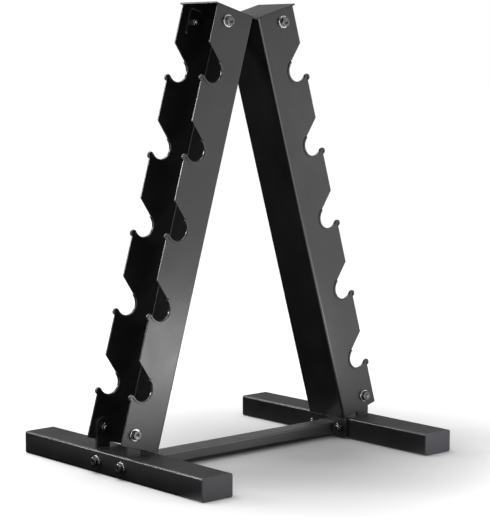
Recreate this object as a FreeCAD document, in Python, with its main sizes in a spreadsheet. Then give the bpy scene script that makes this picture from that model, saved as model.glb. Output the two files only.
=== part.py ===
import FreeCAD, Part
import math
import os
import re

import Sketcher

# A-frame dumbbell rack, five pairs high.  Millimetres, +Z up.
# Origin: on the floor, midway between the two feet and midway along them.
# X runs from the left foot to the right foot, Y from the front to the rear.
#
# Two channel uprights lean together over two floor tubes.  Each channel turns its
# web to the middle of the frame and its flanges outwards.  Five notches in every
# flange carry the dumbbell handles, and each notch wears a plastic edge trim.

DIMENSIONS = [
    # The feet: two rectangular tubes that lie front to back.
    ("foot_length", 500, "front to back, over the end caps"),
    ("foot_width", 65, "side to side"),
    ("foot_height", 40, "floor to top"),
    ("foot_wall", 2.5, "tube wall"),
    ("foot_round", 4, "outside corner radius"),
    ("foot_centre", 262, "middle of the rack to the middle of a foot"),
    ("cap_plate", 3, "visible thickness of an end cap"),
    ("cap_plug", 16, "length of the cap inside the tube"),
    ("cap_play", 0.25, "gap between the plug and the tube wall"),
    # The crossbar between the feet.
    ("bar_width", 38, "front to back"),
    ("bar_height", 21, "top to bottom"),
    ("bar_wall", 2, "tube wall"),
    ("bar_round", 3, "outside corner radius"),
    ("bar_axis", 17, "height of the bar's axis"),
    ("end_plate_width", 100, "front to back"),
    ("end_plate_base", 1.5, "clear of the floor"),
    ("end_plate_height", 36, "top to bottom"),
    ("end_plate_thick", 5, "thickness"),
    ("end_plate_round", 5, "corner radius"),
    ("foot_bolt_y", 35, "crossbar bolts, front and rear of the middle"),
    ("foot_bolt_z", 20, "crossbar bolts, height"),
    # The channel uprights, in their own upright frame: x outwards from the back
    # of the web, z up the length from the cut bottom end.
    ("lean", 16.27, "degrees from the vertical"),
    ("toe_x", 222.65, "back of the web at the bottom end"),
    ("toe_z", 38.25, "the same corner, above the floor"),
    ("channel_width", 97, "over the flanges"),
    ("channel_depth", 84.5, "back of the web to the flange edges"),
    ("channel_length", 773.5, "bottom end to top end"),
    ("channel_wall", 3, "sheet thickness"),
    ("channel_bend", 5, "outside radius of the two bends"),
    # The handle notches.
    ("tiers", 5, "notches up a flange"),
    ("tier_pitch", 140, "from one notch to the next"),
    ("seat_drop", 113.5, "channel top to the centre of the highest seat"),
    ("seat_inset", 20, "flange edge to the centre of a seat"),
    ("seat_radius", 22, "seat cut in the steel"),
    ("mouth_rise", 45.5, "seat centre to where the mouth leaves the flange edge"),
    ("nose_inset", 1, "flange edge to the centre of the nose"),
    ("nose_radius", 4, "rounded nose in front of the seat"),
    # The plastic trim on each notch.
    ("trim_wall", 2.2, "plastic between the steel and the handle"),
    ("trim_leg", 2.2, "how far the legs reach over the steel"),
    ("trim_width", 5.8, "over both legs"),
    ("trim_lead", 4, "straight stretch above the seat"),
    ("trim_tail", 75, "degrees below level where the trim ends on the nose"),
    # The top of the frame.
    ("top_plate_thick", 3, "thickness of the plate that bridges the channels"),
    ("top_overhang", 6, "beyond the flange edges"),
    ("ear_thick", 3, "thickness of the ears under the top plate"),
    ("ear_width", 28, "across the channel, centred on the upper bolt"),
    ("ear_length", 47, "down from the top plate"),
    ("ear_round", 5, "radius of the two lower corners"),
    ("top_bolt_drop", 21, "channel top to the upper bolts"),
    ("top_bolt_x", 55, "back of the web to the upper bolts"),
    # The tabs on the feet.
    ("low_bolt_x", 60.5, "back of the web to the lower bolts"),
    ("low_bolt_z", 22.5, "channel bottom to the lower bolts"),
    ("tab_width", 28, "side to side, with a full-round top"),
    ("tab_thick", 5, "thickness"),
    ("tab_crown", 4, "bolt up to the centre of the round top"),
    # Fasteners: ten-millimetre hexagon bolts.
    ("bolt_radius", 5, "shank"),
    ("hole_radius", 5.25, "clearance hole"),
    ("hex_radius", 9.24, "head and nut, over the corners, halved"),
    ("head_height", 6.4, "bolt head"),
    ("nut_height", 8, "nut"),
    ("nut_bore", 5.05, "nut hole"),
    ("bolt_tail", 2.5, "shank beyond the nut"),
    ("washer_radius", 11, "outside"),
    ("washer_thick", 2, "thickness"),
]

doc = FreeCAD.newDocument("dumbbell_rack")
sheet = doc.addObject("Spreadsheet::Sheet", "dims")
for row, (alias, number, note) in enumerate(DIMENSIONS, start=1):
    sheet.set(f"A{row}", alias)
    sheet.set(f"B{row}", str(number))
    sheet.set(f"C{row}", note)
    sheet.setAlias(f"B{row}", alias)
doc.recompute()

ALIASES = re.compile(r"\b(" + "|".join(alias for alias, _, _ in DIMENSIONS) + r")\b")
SUB_PARTS = []

# Signs of the two sides and of the two flanges of the frame.
SIDES = {"left": -1, "right": 1}
ENDS = {"front": -1, "rear": 1}

# How far a cutting outline or a pocket runs past the metal that it cuts.
CUT_MARGIN = 10

X_AXIS = FreeCAD.Vector(1, 0, 0)
Y_AXIS = FreeCAD.Vector(0, 1, 0)
Z_AXIS = FreeCAD.Vector(0, 0, 1)


# ---------------------------------------------------------------- helpers

def size(alias):
    """A driving dimension as a number."""
    return float(sheet.get(alias))


def cells(formula):
    """Point every dimension named in a formula at its cell of the sheet."""
    return ALIASES.sub(r"dims.\1", formula)


def bind(target, **formulas):
    """Bind properties of an object to formulas of the driving dimensions."""
    for prop, formula in formulas.items():
        target.setExpression(prop, cells(formula))


def place(target, formula):
    """Bind an object's Placement to a formula."""
    target.setExpression("Placement", cells(formula))


def spot(x="0", y="0", z="0", axis="0;0;1", angle="0"):
    """Placement formula: a turn about an axis, then a shift."""
    return f"placement(vector({x};{y};{z}); rotation(vector({axis}); {angle}))"


def upright_frame(side):
    """Placement formula of an upright's own frame.  The left one is turned about
    the middle of the rack, so its local y points to the front."""
    leaning = spot("toe_x", "0", "toe_z", "0;1;0", "-lean")
    return leaning if side == "right" else spot(angle="180") + " * " + leaning


def local_sign(side, end):
    """Sign of local y on an upright for a flange at the front or the rear."""
    return SIDES[side] * ENDS[end]


def sub_part(item, label):
    """Name a finished piece and list it for writing."""
    item.Label = label
    SUB_PARTS.append(item)


def box(name, length, width, height):
    item = doc.addObject("Part::Box", name)
    bind(item, Length=length, Width=width, Height=height)
    return item


def cylinder(name, radius, height):
    item = doc.addObject("Part::Cylinder", name)
    bind(item, Radius=radius, Height=height)
    return item


def cut(name, base, tool):
    item = doc.addObject("Part::Cut", name)
    item.Base, item.Tool = base, tool
    return item


def fuse(name, *shapes):
    item = doc.addObject("Part::MultiFuse", name)
    item.Shapes = list(shapes)
    return item


# ---------------------------------------------------------------- sketches

def plane(body, role):
    return next(item for item in body.Origin.OriginFeatures if item.Role == role)


def sketch_on(body, name, role):
    sketch = body.newObject("Sketcher::SketchObject", name)
    sketch.AttachmentSupport = (plane(body, role), [""])
    sketch.MapMode = "FlatFace"
    return sketch


def constrain(sketch, kind, *where, name=None, formula=None, value=0.0):
    """Add a constraint; a formula ties it to the sheet, a value alone starts it."""
    if formula is None:
        sketch.addConstraint(Sketcher.Constraint(kind, *where))
        return
    sketch.addConstraint(Sketcher.Constraint(kind, *where, value))
    sketch.renameConstraint(sketch.ConstraintCount - 1, name)
    sketch.setExpression(f"Constraints.{name}", cells(formula))


def rectangle(sketch, prefix, left, right, low, high):
    """A rectangle whose four sides are formulas of the driving dimensions.  It starts
    as a square, and the constraints then pull it to its size."""
    first = sketch.GeometryCount
    square = 10
    corners = [(0, 0), (square, 0), (square, square), (0, square)]
    points = [FreeCAD.Vector(x, y, 0) for x, y in corners]
    for start, end in zip(points, points[1:] + points[:1]):
        sketch.addGeometry(Part.LineSegment(start, end), False)
    for index in range(4):
        constrain(sketch, "Coincident", first + index, 2, first + (index + 1) % 4, 1)
    constrain(sketch, "Horizontal", first)
    constrain(sketch, "Vertical", first + 1)
    constrain(sketch, "Horizontal", first + 2)
    constrain(sketch, "Vertical", first + 3)
    sides = [("DistanceX", first + 3, 1, "left", left, 0),
             ("DistanceX", first + 1, 1, "right", right, square),
             ("DistanceY", first, 1, "low", low, 0),
             ("DistanceY", first + 2, 1, "high", high, square)]
    for kind, line, point, suffix, formula, start_value in sides:
        constrain(sketch, kind, line, point, name=f"{prefix}_{suffix}",
                  formula=formula, value=start_value)


def circle(sketch, prefix, x, y, radius):
    """A circle whose centre and radius are formulas of the driving dimensions."""
    index = sketch.GeometryCount
    sketch.addGeometry(Part.Circle(FreeCAD.Vector(1, 1, 0), Z_AXIS, 1.0), False)
    constrain(sketch, "Radius", index, name=f"{prefix}_radius", formula=radius, value=1.0)
    constrain(sketch, "DistanceX", index, 3, name=f"{prefix}_x", formula=x, value=1.0)
    constrain(sketch, "DistanceY", index, 3, name=f"{prefix}_y", formula=y, value=1.0)


def extrusion(body, kind, name, sketch, length, both_ways=True):
    """A pad or a pocket of a sketch, half to each side or to one side only."""
    feature = body.newObject(f"PartDesign::{kind}", name)
    feature.Profile = (sketch, [""])
    feature.Type = "Length"
    feature.SideType = "Symmetric" if both_ways else "One side"
    bind(feature, Length=length)
    sketch.Visibility = False
    doc.recompute()
    return feature


def long_edges(shape, axis, keep=lambda middle: True):
    """Names of the straight edges along an axis whose middle passes the test."""
    names = []
    for number, edge in enumerate(shape.Edges, start=1):
        if not isinstance(edge.Curve, Part.Line):
            continue
        direction = edge.tangentAt(edge.FirstParameter)
        if abs(direction.dot(axis)) > 0.999 and keep(edge.CenterOfMass):
            names.append(f"Edge{number}")
    return names


def fillet(body, name, base, edges, radius):
    feature = body.newObject("PartDesign::Fillet", name)
    feature.Base = (base, edges)
    bind(feature, Radius=radius)
    doc.recompute()
    return feature


def square_tube(name, width, height, wall, corner, length):
    """A rectangular tube along its local Z, centred on it."""
    body = doc.addObject("PartDesign::Body", name)
    outside = sketch_on(body, f"{name}_outside", "XY_Plane")
    rectangle(outside, "outer", f"-{width}/2", f"{width}/2", f"-{height}/2", f"{height}/2")
    solid = extrusion(body, "Pad", f"{name}_pad", outside, length)
    edges = long_edges(solid.Shape, Z_AXIS)
    fillet(body, f"{name}_corners", solid, edges, corner)
    inside = sketch_on(body, f"{name}_inside", "XY_Plane")
    rectangle(inside, "inner", f"-{width}/2 + {wall}", f"{width}/2 - {wall}",
              f"-{height}/2 + {wall}", f"{height}/2 - {wall}")
    extrusion(body, "Pocket", f"{name}_hollow", inside, f"{length} + {CUT_MARGIN}")
    return body


# ---------------------------------------------------------------- feet and crossbar

def drill_foot(body, name):
    """Two holes across a foot for the crossbar bolts.  The tube's local Y is up and
    its local Z runs along the foot."""
    holes = sketch_on(body, f"{name}_holes", "YZ_Plane")
    for end, sign in ENDS.items():
        circle(holes, end, "foot_bolt_z - foot_height/2", f"{sign}*foot_bolt_y", "hole_radius")
    extrusion(body, "Pocket", f"{name}_drilled", holes, f"foot_width + {CUT_MARGIN}")


def make_foot(side):
    name = f"{side}_foot"
    body = square_tube(name, "foot_width", "foot_height", "foot_wall", "foot_round",
                       "(foot_length - 2*cap_plate)")
    drill_foot(body, name)
    place(body, spot(f"{SIDES[side]}*foot_centre", "0", "foot_height/2", "1;0;0", "90"))
    sub_part(body, name)


def make_foot_cap(side, end):
    """An end cap: a rounded plate with a plug that pushes into the tube."""
    name = f"{side}_{end}_foot_cap"
    body = doc.addObject("PartDesign::Body", name)
    face = sketch_on(body, f"{name}_face", "XZ_Plane")
    rectangle(face, "face", "-foot_width/2", "foot_width/2", "0", "foot_height")
    plate = extrusion(body, "Pad", f"{name}_plate", face, "cap_plate")
    edges = long_edges(plate.Shape, Y_AXIS)
    fillet(body, f"{name}_corners", plate, edges, "foot_round")
    plug = sketch_on(body, f"{name}_plug_outline", "XZ_Plane")
    inset = "(foot_wall + cap_play)"
    rectangle(plug, "plug", f"-foot_width/2 + {inset}", f"foot_width/2 - {inset}",
              inset, f"foot_height - {inset}")
    pad = extrusion(body, "Pad", f"{name}_plug", plug, "cap_plate/2 + cap_plug",
                    both_ways=False)
    reach = "(foot_length - cap_plate)/2"
    turn = "0" if end == "rear" else "180"
    place(body, spot(f"{SIDES[side]}*foot_centre", f"{ENDS[end]}*{reach}", "0",
                     "0;0;1", turn))
    if pad.Shape.BoundBox.YMin > -size("cap_plug"):
        raise RuntimeError(f"{name}: the plug points away from the tube")
    sub_part(body, name)


def make_crossbar():
    body = square_tube("crossbar", "bar_width", "bar_height", "bar_wall", "bar_round",
                       "(2*foot_centre - foot_width - 2*end_plate_thick)")
    place(body, spot("0", "0", "bar_axis") + " * " + spot(axis="0;1;0", angle="90")
          + " * " + spot(angle="90"))
    sub_part(body, "crossbar")


def make_end_plate(side):
    """A flat plate on each end of the crossbar, bolted to the foot."""
    name = f"{side}_end_plate"
    body = doc.addObject("PartDesign::Body", name)
    outline = sketch_on(body, f"{name}_outline", "YZ_Plane")
    rectangle(outline, "plate", "-end_plate_width/2", "end_plate_width/2",
              "end_plate_base", "end_plate_base + end_plate_height")
    plate = extrusion(body, "Pad", f"{name}_pad", outline, "end_plate_thick")
    edges = long_edges(plate.Shape, X_AXIS)
    fillet(body, f"{name}_corners", plate, edges, "end_plate_round")
    holes = sketch_on(body, f"{name}_holes", "YZ_Plane")
    for end, sign in ENDS.items():
        circle(holes, end, f"{sign}*foot_bolt_y", "foot_bolt_z", "hole_radius")
    extrusion(body, "Pocket", f"{name}_drilled", holes, f"end_plate_thick + {CUT_MARGIN}")
    reach = "(foot_centre - foot_width/2 - end_plate_thick/2)"
    place(body, spot(f"{SIDES[side]}*{reach}"))
    sub_part(body, name)


# World position of the lower bolts, from the leaning frame of the right upright.
LOW_BOLT_X = "(toe_x + low_bolt_x*cos(lean) - low_bolt_z*sin(lean))"
LOW_BOLT_Z = "(toe_z + low_bolt_x*sin(lean) + low_bolt_z*cos(lean))"
TAB_INNER = "(channel_width/2 - channel_wall - tab_thick)"


def make_tab(side, end):
    """A tab with a round top, welded upright on a foot inside a flange."""
    name = f"{side}_{end}_tab"
    body = doc.addObject("PartDesign::Body", name)
    stem = sketch_on(body, f"{name}_stem", "XZ_Plane")
    rectangle(stem, "stem", "-tab_width/2", "tab_width/2",
              f"foot_height - {LOW_BOLT_Z}", "tab_crown")
    extrusion(body, "Pad", f"{name}_pad", stem, "tab_thick")
    crown = sketch_on(body, f"{name}_crown", "XZ_Plane")
    circle(crown, "crown", "0", "tab_crown", "tab_width/2")
    extrusion(body, "Pad", f"{name}_round_top", crown, "tab_thick")
    hole = sketch_on(body, f"{name}_hole", "XZ_Plane")
    circle(hole, "hole", "0", "0", "hole_radius")
    extrusion(body, "Pocket", f"{name}_drilled", hole, f"tab_thick + {CUT_MARGIN}")
    place(body, spot(f"{SIDES[side]}*{LOW_BOLT_X}",
                     f"{ENDS[end]}*({TAB_INNER} + tab_thick/2)", LOW_BOLT_Z))
    sub_part(body, name)


# ---------------------------------------------------------------- notch outline

# Positions about the centre of a seat: x outwards to the flange edge, y upwards.
# The mouth is a straight cut that leaves the flange edge above the seat and meets
# the seat's circle as a tangent.  The nose is a small circle that the seat's circle
# also touches.
SEAT_X = "(channel_depth - seat_inset)"
SEAT_Z = "(channel_length - seat_drop)"
NOSE_X = "(seat_inset - nose_inset)"
NOSE_DROP = f"sqrt((seat_radius + nose_radius)^2 - {NOSE_X}^2)"
MOUTH_ANGLE = ("(atan2(mouth_rise; seat_inset)"
               " - asin(seat_radius / sqrt(seat_inset^2 + mouth_rise^2)))")


# Shifts of the notch's edge into the steel: the steel's own cut edge, the plastic's
# face towards the handle and the ends of the plastic's legs.
STEEL_EDGE = ("0", 0.0)
TRIM_FACE = ("-trim_wall", -size("trim_wall"))
TRIM_LEG_ENDS = ("trim_leg", size("trim_leg"))


def nose_offset():
    """Where the nose's centre lies from the seat's centre."""
    x = size("seat_inset") - size("nose_inset")
    reach = size("seat_radius") + size("nose_radius")
    return FreeCAD.Vector(x, -math.sqrt(reach ** 2 - x ** 2), 0)


def mouth_slope():
    """Angle of the mouth's straight cut above level, in radians."""
    inset, rise = size("seat_inset"), size("mouth_rise")
    return math.atan2(rise, inset) - math.asin(size("seat_radius") / math.hypot(inset, rise))


def ray(centre, radius, angle):
    """The point at a radius and an angle from a centre."""
    return centre + FreeCAD.Vector(radius * math.cos(angle), radius * math.sin(angle), 0)


def add_line(sketch, start, end):
    return sketch.addGeometry(Part.LineSegment(start, end), False)


def add_arc(sketch, centre, radius, start, end):
    """A counter-clockwise arc between two angles."""
    whole = Part.Circle(centre, Z_AXIS, radius)
    return sketch.addGeometry(Part.ArcOfCircle(whole, start, end), False)


def notch_edge(sketch, tag, seat_x, seat_y, seat, shift, lead, tail):
    """The edge of a notch moved by a shift into the steel: the mouth's line, the
    seat's arc and the nose's arc.  The shift is a formula with its number.  seat is
    the start position of the seat's centre, lead the length of the line and tail the
    angle where the nose's arc begins.  Returns the three geometry numbers."""
    shift, moved = shift
    slope = mouth_slope()
    contact = math.atan2(nose_offset().y, nose_offset().x)
    seat_radius = size("seat_radius") + moved
    start = ray(seat, seat_radius, slope + math.pi / 2)
    mouth = add_line(sketch, ray(start, lead, slope), start)
    bowl = add_arc(sketch, seat, seat_radius, slope + math.pi / 2, contact + 2 * math.pi)
    tip = add_arc(sketch, seat + nose_offset(), size("nose_radius") - moved,
                  tail, contact + math.pi)
    constrain(sketch, "Tangent", mouth, 2, bowl, 1)
    constrain(sketch, "Tangent", bowl, 2, tip, 2)
    rules = [("Radius", (bowl,), "seat_radius", f"seat_radius + ({shift})", seat_radius),
             ("DistanceX", (bowl, 3), "seat_x", seat_x, seat.x),
             ("DistanceY", (bowl, 3), "seat_y", seat_y, seat.y),
             ("DistanceX", (tip, 3), "nose_x", f"{seat_x} + {NOSE_X}",
              seat.x + nose_offset().x),
             ("DistanceY", (tip, 3), "nose_y", f"{seat_y} - {NOSE_DROP}",
              seat.y + nose_offset().y),
             ("Angle", (mouth,), "slope", f"{MOUTH_ANGLE} + 180 deg",
              slope + math.pi)]
    for kind, where, suffix, formula, value in rules:
        constrain(sketch, kind, *where, name=f"{tag}_{suffix}", formula=formula, value=value)
    return mouth, bowl, tip


def cut_notches(body, name):
    """The noses, then the notches behind them, repeated down both flanges."""
    nose = sketch_on(body, f"{name}_nose", "XZ_Plane")
    circle(nose, "nose", f"{SEAT_X} + {NOSE_X}", f"{SEAT_Z} - {NOSE_DROP}", "nose_radius")
    noses = extrusion(body, "Pad", f"{name}_noses", nose, "channel_width")
    notch = sketch_on(body, f"{name}_notch", "XZ_Plane")
    seat = FreeCAD.Vector(size("channel_depth") - size("seat_inset"),
                          size("channel_length") - size("seat_drop"), 0)
    outside = size("channel_depth") + CUT_MARGIN
    edge_turn = math.acos(size("nose_inset") / size("nose_radius"))
    lead_from = ray(seat, size("seat_radius"), mouth_slope() + math.pi / 2)
    lead = (outside - lead_from.x) / math.cos(mouth_slope())
    mouth, bowl, tip = notch_edge(notch, "cut", SEAT_X, SEAT_Z, seat, STEEL_EDGE, lead,
                                  edge_turn)
    upper = notch.getPoint(mouth, 1)
    lip = notch.getPoint(tip, 1)
    corner = FreeCAD.Vector(outside, lip.y, 0)
    shelf = add_line(notch, lip, corner)
    closing = add_line(notch, corner, upper)
    constrain(notch, "Coincident", tip, 1, shelf, 1)
    constrain(notch, "Coincident", shelf, 2, closing, 1)
    constrain(notch, "Coincident", closing, 2, mouth, 1)
    constrain(notch, "Horizontal", shelf)
    constrain(notch, "Vertical", closing)
    constrain(notch, "DistanceX", closing, 1, name="cut_outside",
              formula=f"channel_depth + {CUT_MARGIN}", value=outside)
    constrain(notch, "DistanceX", tip, 1, name="cut_edge", formula="channel_depth",
              value=size("channel_depth"))
    cuts = extrusion(body, "Pocket", f"{name}_notches", notch, f"channel_width + {CUT_MARGIN}")
    rows = body.newObject("PartDesign::LinearPattern", f"{name}_tiers")
    rows.Originals = [noses, cuts]
    rows.Direction = (plane(body, "Z_Axis"), [""])
    rows.Reversed = True
    rows.Mode = "Spacing"
    bind(rows, Offset="tier_pitch", Occurrences="tiers")
    body.Tip = rows
    doc.recompute()


# ---------------------------------------------------------------- uprights

# Height of the upper bolts in the upright's own frame.
TOP_BOLT_Z = "(channel_length - top_bolt_drop)"


def make_upright(side):
    """A channel bent from sheet, cut square at both ends and notched down both
    flanges.  It starts as a solid bar, and the inside is cut out last."""
    name = f"{side}_upright"
    body = doc.addObject("PartDesign::Body", name)
    outline = sketch_on(body, f"{name}_outline", "XY_Plane")
    rectangle(outline, "bar", "0", "channel_depth", "-channel_width/2", "channel_width/2")
    bar = extrusion(body, "Pad", f"{name}_bar", outline, "channel_length", both_ways=False)
    bends = long_edges(bar.Shape, Z_AXIS, lambda middle: middle.x < size("channel_wall"))
    fillet(body, f"{name}_bends", bar, bends, "channel_bend")
    cut_notches(body, name)
    inside = sketch_on(body, f"{name}_inside", "XZ_Plane")
    rectangle(inside, "inside", "channel_wall", f"channel_depth + {CUT_MARGIN}",
              f"-{CUT_MARGIN}", f"channel_length + {CUT_MARGIN}")
    hollow = extrusion(body, "Pocket", f"{name}_hollow", inside,
                       "channel_width - 2*channel_wall")
    web = size("channel_wall")
    inner = long_edges(hollow.Shape, Z_AXIS, lambda middle: abs(middle.x - web) < 0.01)
    fillet(body, f"{name}_inner_bends", hollow, inner, "channel_bend - channel_wall")
    holes = sketch_on(body, f"{name}_holes", "XZ_Plane")
    circle(holes, "upper", "top_bolt_x", TOP_BOLT_Z, "hole_radius")
    circle(holes, "lower", "low_bolt_x", "low_bolt_z", "hole_radius")
    extrusion(body, "Pocket", f"{name}_drilled", holes, f"channel_width + {CUT_MARGIN}")
    place(body, upright_frame(side))
    sub_part(body, name)


def make_top_plate():
    """One plate over both channels, bent to a shallow V between them, with a lip
    past the flanges.  The underside of each wing reaches the middle plane."""
    valley = "((channel_length*sin(lean) - toe_x) / cos(lean))"
    wings = []
    for side in SIDES:
        wing = box(f"{side}_wing", f"channel_depth + top_overhang - {valley}",
                   "channel_width", "top_plate_thick")
        corner = spot(valley, "-channel_width/2", "channel_length")
        place(wing, upright_frame(side) + " * " + corner)
        wings.append(wing)
    sub_part(fuse("top_plate", *wings), "top_plate")


def make_ear(side, end):
    """An ear welded under the top plate, flat against the inside of a flange."""
    name = f"{side}_{end}_ear"
    body = doc.addObject("PartDesign::Body", name)
    outline = sketch_on(body, f"{name}_outline", "XZ_Plane")
    rectangle(outline, "ear", "-ear_width/2", "ear_width/2",
              "top_bolt_drop - ear_length", "top_bolt_drop")
    blank = extrusion(body, "Pad", f"{name}_pad", outline, "ear_thick")
    lower = long_edges(blank.Shape, Y_AXIS, lambda middle: middle.z < 0)
    fillet(body, f"{name}_corners", blank, lower, "ear_round")
    hole = sketch_on(body, f"{name}_hole", "XZ_Plane")
    circle(hole, "hole", "0", "0", "hole_radius")
    extrusion(body, "Pocket", f"{name}_drilled", hole, f"ear_thick + {CUT_MARGIN}")
    middle = "(channel_width/2 - channel_wall - ear_thick/2)"
    centre = spot("top_bolt_x", f"{local_sign(side, end)}*{middle}", TOP_BOLT_Z)
    place(body, upright_frame(side) + " * " + centre)
    sub_part(body, name)


# ---------------------------------------------------------------- notch trims

def trim_band(sketch, tag, near):
    """A closed band that follows the notch's edge, from a shift of it to the ends of
    the trim's legs."""
    centre = FreeCAD.Vector(0, 0, 0)
    lead = size("trim_lead")
    tail = -math.radians(size("trim_tail"))
    inner = notch_edge(sketch, f"{tag}_near", "0", "0", centre, near, lead, tail)
    outer = notch_edge(sketch, f"{tag}_far", "0", "0", centre, TRIM_LEG_ENDS, lead, tail)
    start = add_line(sketch, sketch.getPoint(inner[0], 1), sketch.getPoint(outer[0], 1))
    end = add_line(sketch, sketch.getPoint(inner[2], 1), sketch.getPoint(outer[2], 1))
    for closing, piece in ((start, 0), (end, 2)):
        constrain(sketch, "Coincident", closing, 1, inner[piece], 1)
        constrain(sketch, "Coincident", closing, 2, outer[piece], 1)
    constrain(sketch, "Perpendicular", start, inner[0])
    constrain(sketch, "Distance", inner[0], name=f"{tag}_lead", formula="trim_lead", value=lead)
    constrain(sketch, "PointOnObject", inner[2], 3, end)
    constrain(sketch, "Angle", end, name=f"{tag}_tail",
              formula="(180 - trim_tail) * 1 deg", value=math.pi + tail)


def make_trim(side, end, tier):
    """A plastic edge trim with a U section: pushed on the sheet's cut edge, it
    follows the mouth, the seat and the nose."""
    name = f"{side}_{end}_notch_trim_{tier}"
    body = doc.addObject("PartDesign::Body", name)
    outline = sketch_on(body, f"{name}_outline", "XZ_Plane")
    trim_band(outline, "trim", TRIM_FACE)
    extrusion(body, "Pad", f"{name}_pad", outline, "trim_width")
    groove = sketch_on(body, f"{name}_groove", "XZ_Plane")
    trim_band(groove, "groove", STEEL_EDGE)
    extrusion(body, "Pocket", f"{name}_grooved", groove, "channel_wall")
    sheet_middle = f"{local_sign(side, end)}*(channel_width/2 - channel_wall/2)"
    height = f"{SEAT_Z} - {tier - 1}*tier_pitch"
    place(body, upright_frame(side) + " * " + spot(SEAT_X, sheet_middle, height))
    sub_part(body, name)


# ---------------------------------------------------------------- fasteners

def along_y(x, z, sign, start="0"):
    """Placement formula of a piece whose own Z runs along +y or -y from a start."""
    turn = "-90" if sign > 0 else "90"
    return spot(x, f"{sign}*({start})", z, "1;0;0", turn)


def hexagon(name, height):
    item = doc.addObject("Part::Prism", name)
    item.Polygon = 6
    bind(item, Circumradius="hex_radius", Height=height)
    return item


def fastener_stations():
    """Every bolt's name, frame, outer face and grip.  The frame's own Z points
    outwards along the bolt."""
    stations = {"top": [], "low": [], "crossbar": []}
    flange_rows = (("top", "top_bolt_x", TOP_BOLT_Z, "ear_thick"),
                   ("low", "low_bolt_x", "low_bolt_z", "tab_thick"))
    for side in SIDES:
        for end in ENDS:
            sign = local_sign(side, end)
            for row_name, x, z, backing in flange_rows:
                frame = upright_frame(side) + " * " + along_y(x, z, sign, "channel_width/2")
                stations[row_name].append((f"{side}_{end}", frame, f"channel_wall + {backing}"))
            turn = spot(f"{SIDES[side]}*(foot_centre + foot_width/2)",
                        f"{ENDS[end]}*foot_bolt_y", "foot_bolt_z", "0;1;0", f"{SIDES[side]}*90")
            stations["crossbar"].append((f"{side}_{end}", turn, "foot_width + end_plate_thick"))
    return stations


def make_bolt(name, frame, grip):
    """A hexagon bolt: the head stands on the washer, the tail stands out of the nut."""
    head = hexagon(f"{name}_head", "head_height")
    place(head, f"{frame} * {spot(z='washer_thick')}")
    tail = f"({grip} + nut_height + bolt_tail)"
    shank = cylinder(f"{name}_shank", "bolt_radius", f"{tail} + washer_thick + head_height/2")
    place(shank, f"{frame} * {spot(z='-' + tail)}")
    return fuse(name, head, shank)


def make_washer(name, frame):
    disc = cylinder(f"{name}_disc", "washer_radius", "washer_thick")
    bore = cylinder(f"{name}_bore", "hole_radius", "washer_thick")
    for item in (disc, bore):
        place(item, frame)
    return cut(name, disc, bore)


def make_nut(name, frame, grip):
    block = hexagon(f"{name}_block", "nut_height")
    bore = cylinder(f"{name}_bore", "nut_bore", "nut_height")
    for item in (block, bore):
        place(item, f"{frame} * {spot(z=f'-({grip} + nut_height)')}")
    return cut(name, block, bore)


def make_fasteners():
    """Bolts, washers and nuts, four alike in each set."""
    for row_name, stations in fastener_stations().items():
        sets = {"bolts": [], "washers": [], "nuts": []}
        for corner, frame, grip in stations:
            sets["bolts"].append(make_bolt(f"{row_name}_bolt_{corner}", frame, grip))
            sets["washers"].append(make_washer(f"{row_name}_washer_{corner}", frame))
            sets["nuts"].append(make_nut(f"{row_name}_nut_{corner}", frame, grip))
        for kind, items in sets.items():
            group = doc.addObject("Part::Compound", f"{row_name}_{kind}")
            group.Links = items
            sub_part(group, f"{row_name}_{kind}")


# ---------------------------------------------------------------- assembly

def build():
    make_crossbar()
    for side in SIDES:
        make_foot(side)
        make_end_plate(side)
        make_upright(side)
        for end in ENDS:
            make_foot_cap(side, end)
            make_tab(side, end)
            make_ear(side, end)
            for tier in range(1, int(size("tiers")) + 1):
                make_trim(side, end, tier)
    make_top_plate()
    make_fasteners()
    doc.recompute()


def check():
    """Stop if any object failed or any sub-part has no valid shape."""
    for item in doc.Objects:
        if "Invalid" in item.State or "Error" in item.State:
            raise RuntimeError(f"{item.Name} did not build: {item.getStatusString()}")
    for item in SUB_PARTS:
        if item.Shape.isNull() or not item.Shape.isValid():
            raise RuntimeError(f"{item.Label} has no valid shape")


build()
check()
os.makedirs("parts", exist_ok=True)
for piece in SUB_PARTS:
    piece.Shape.exportStep(f"parts/{piece.Label}.step")
print(f"{len(SUB_PARTS)} sub-parts written")
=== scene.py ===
"""An A-frame dumbbell rack for five pairs, dressed in powder coat, plastic and plated steel.

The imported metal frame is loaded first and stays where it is.  Each sub-assembly is a
class that works its surfaces out as arrays, in metres, in the frame's own axes: +Z up,
X from the left foot to the right foot, Y from the front to the rear.
"""

import logging
import math
from dataclasses import dataclass, field, replace
from enum import Enum
from typing import Protocol

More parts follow.
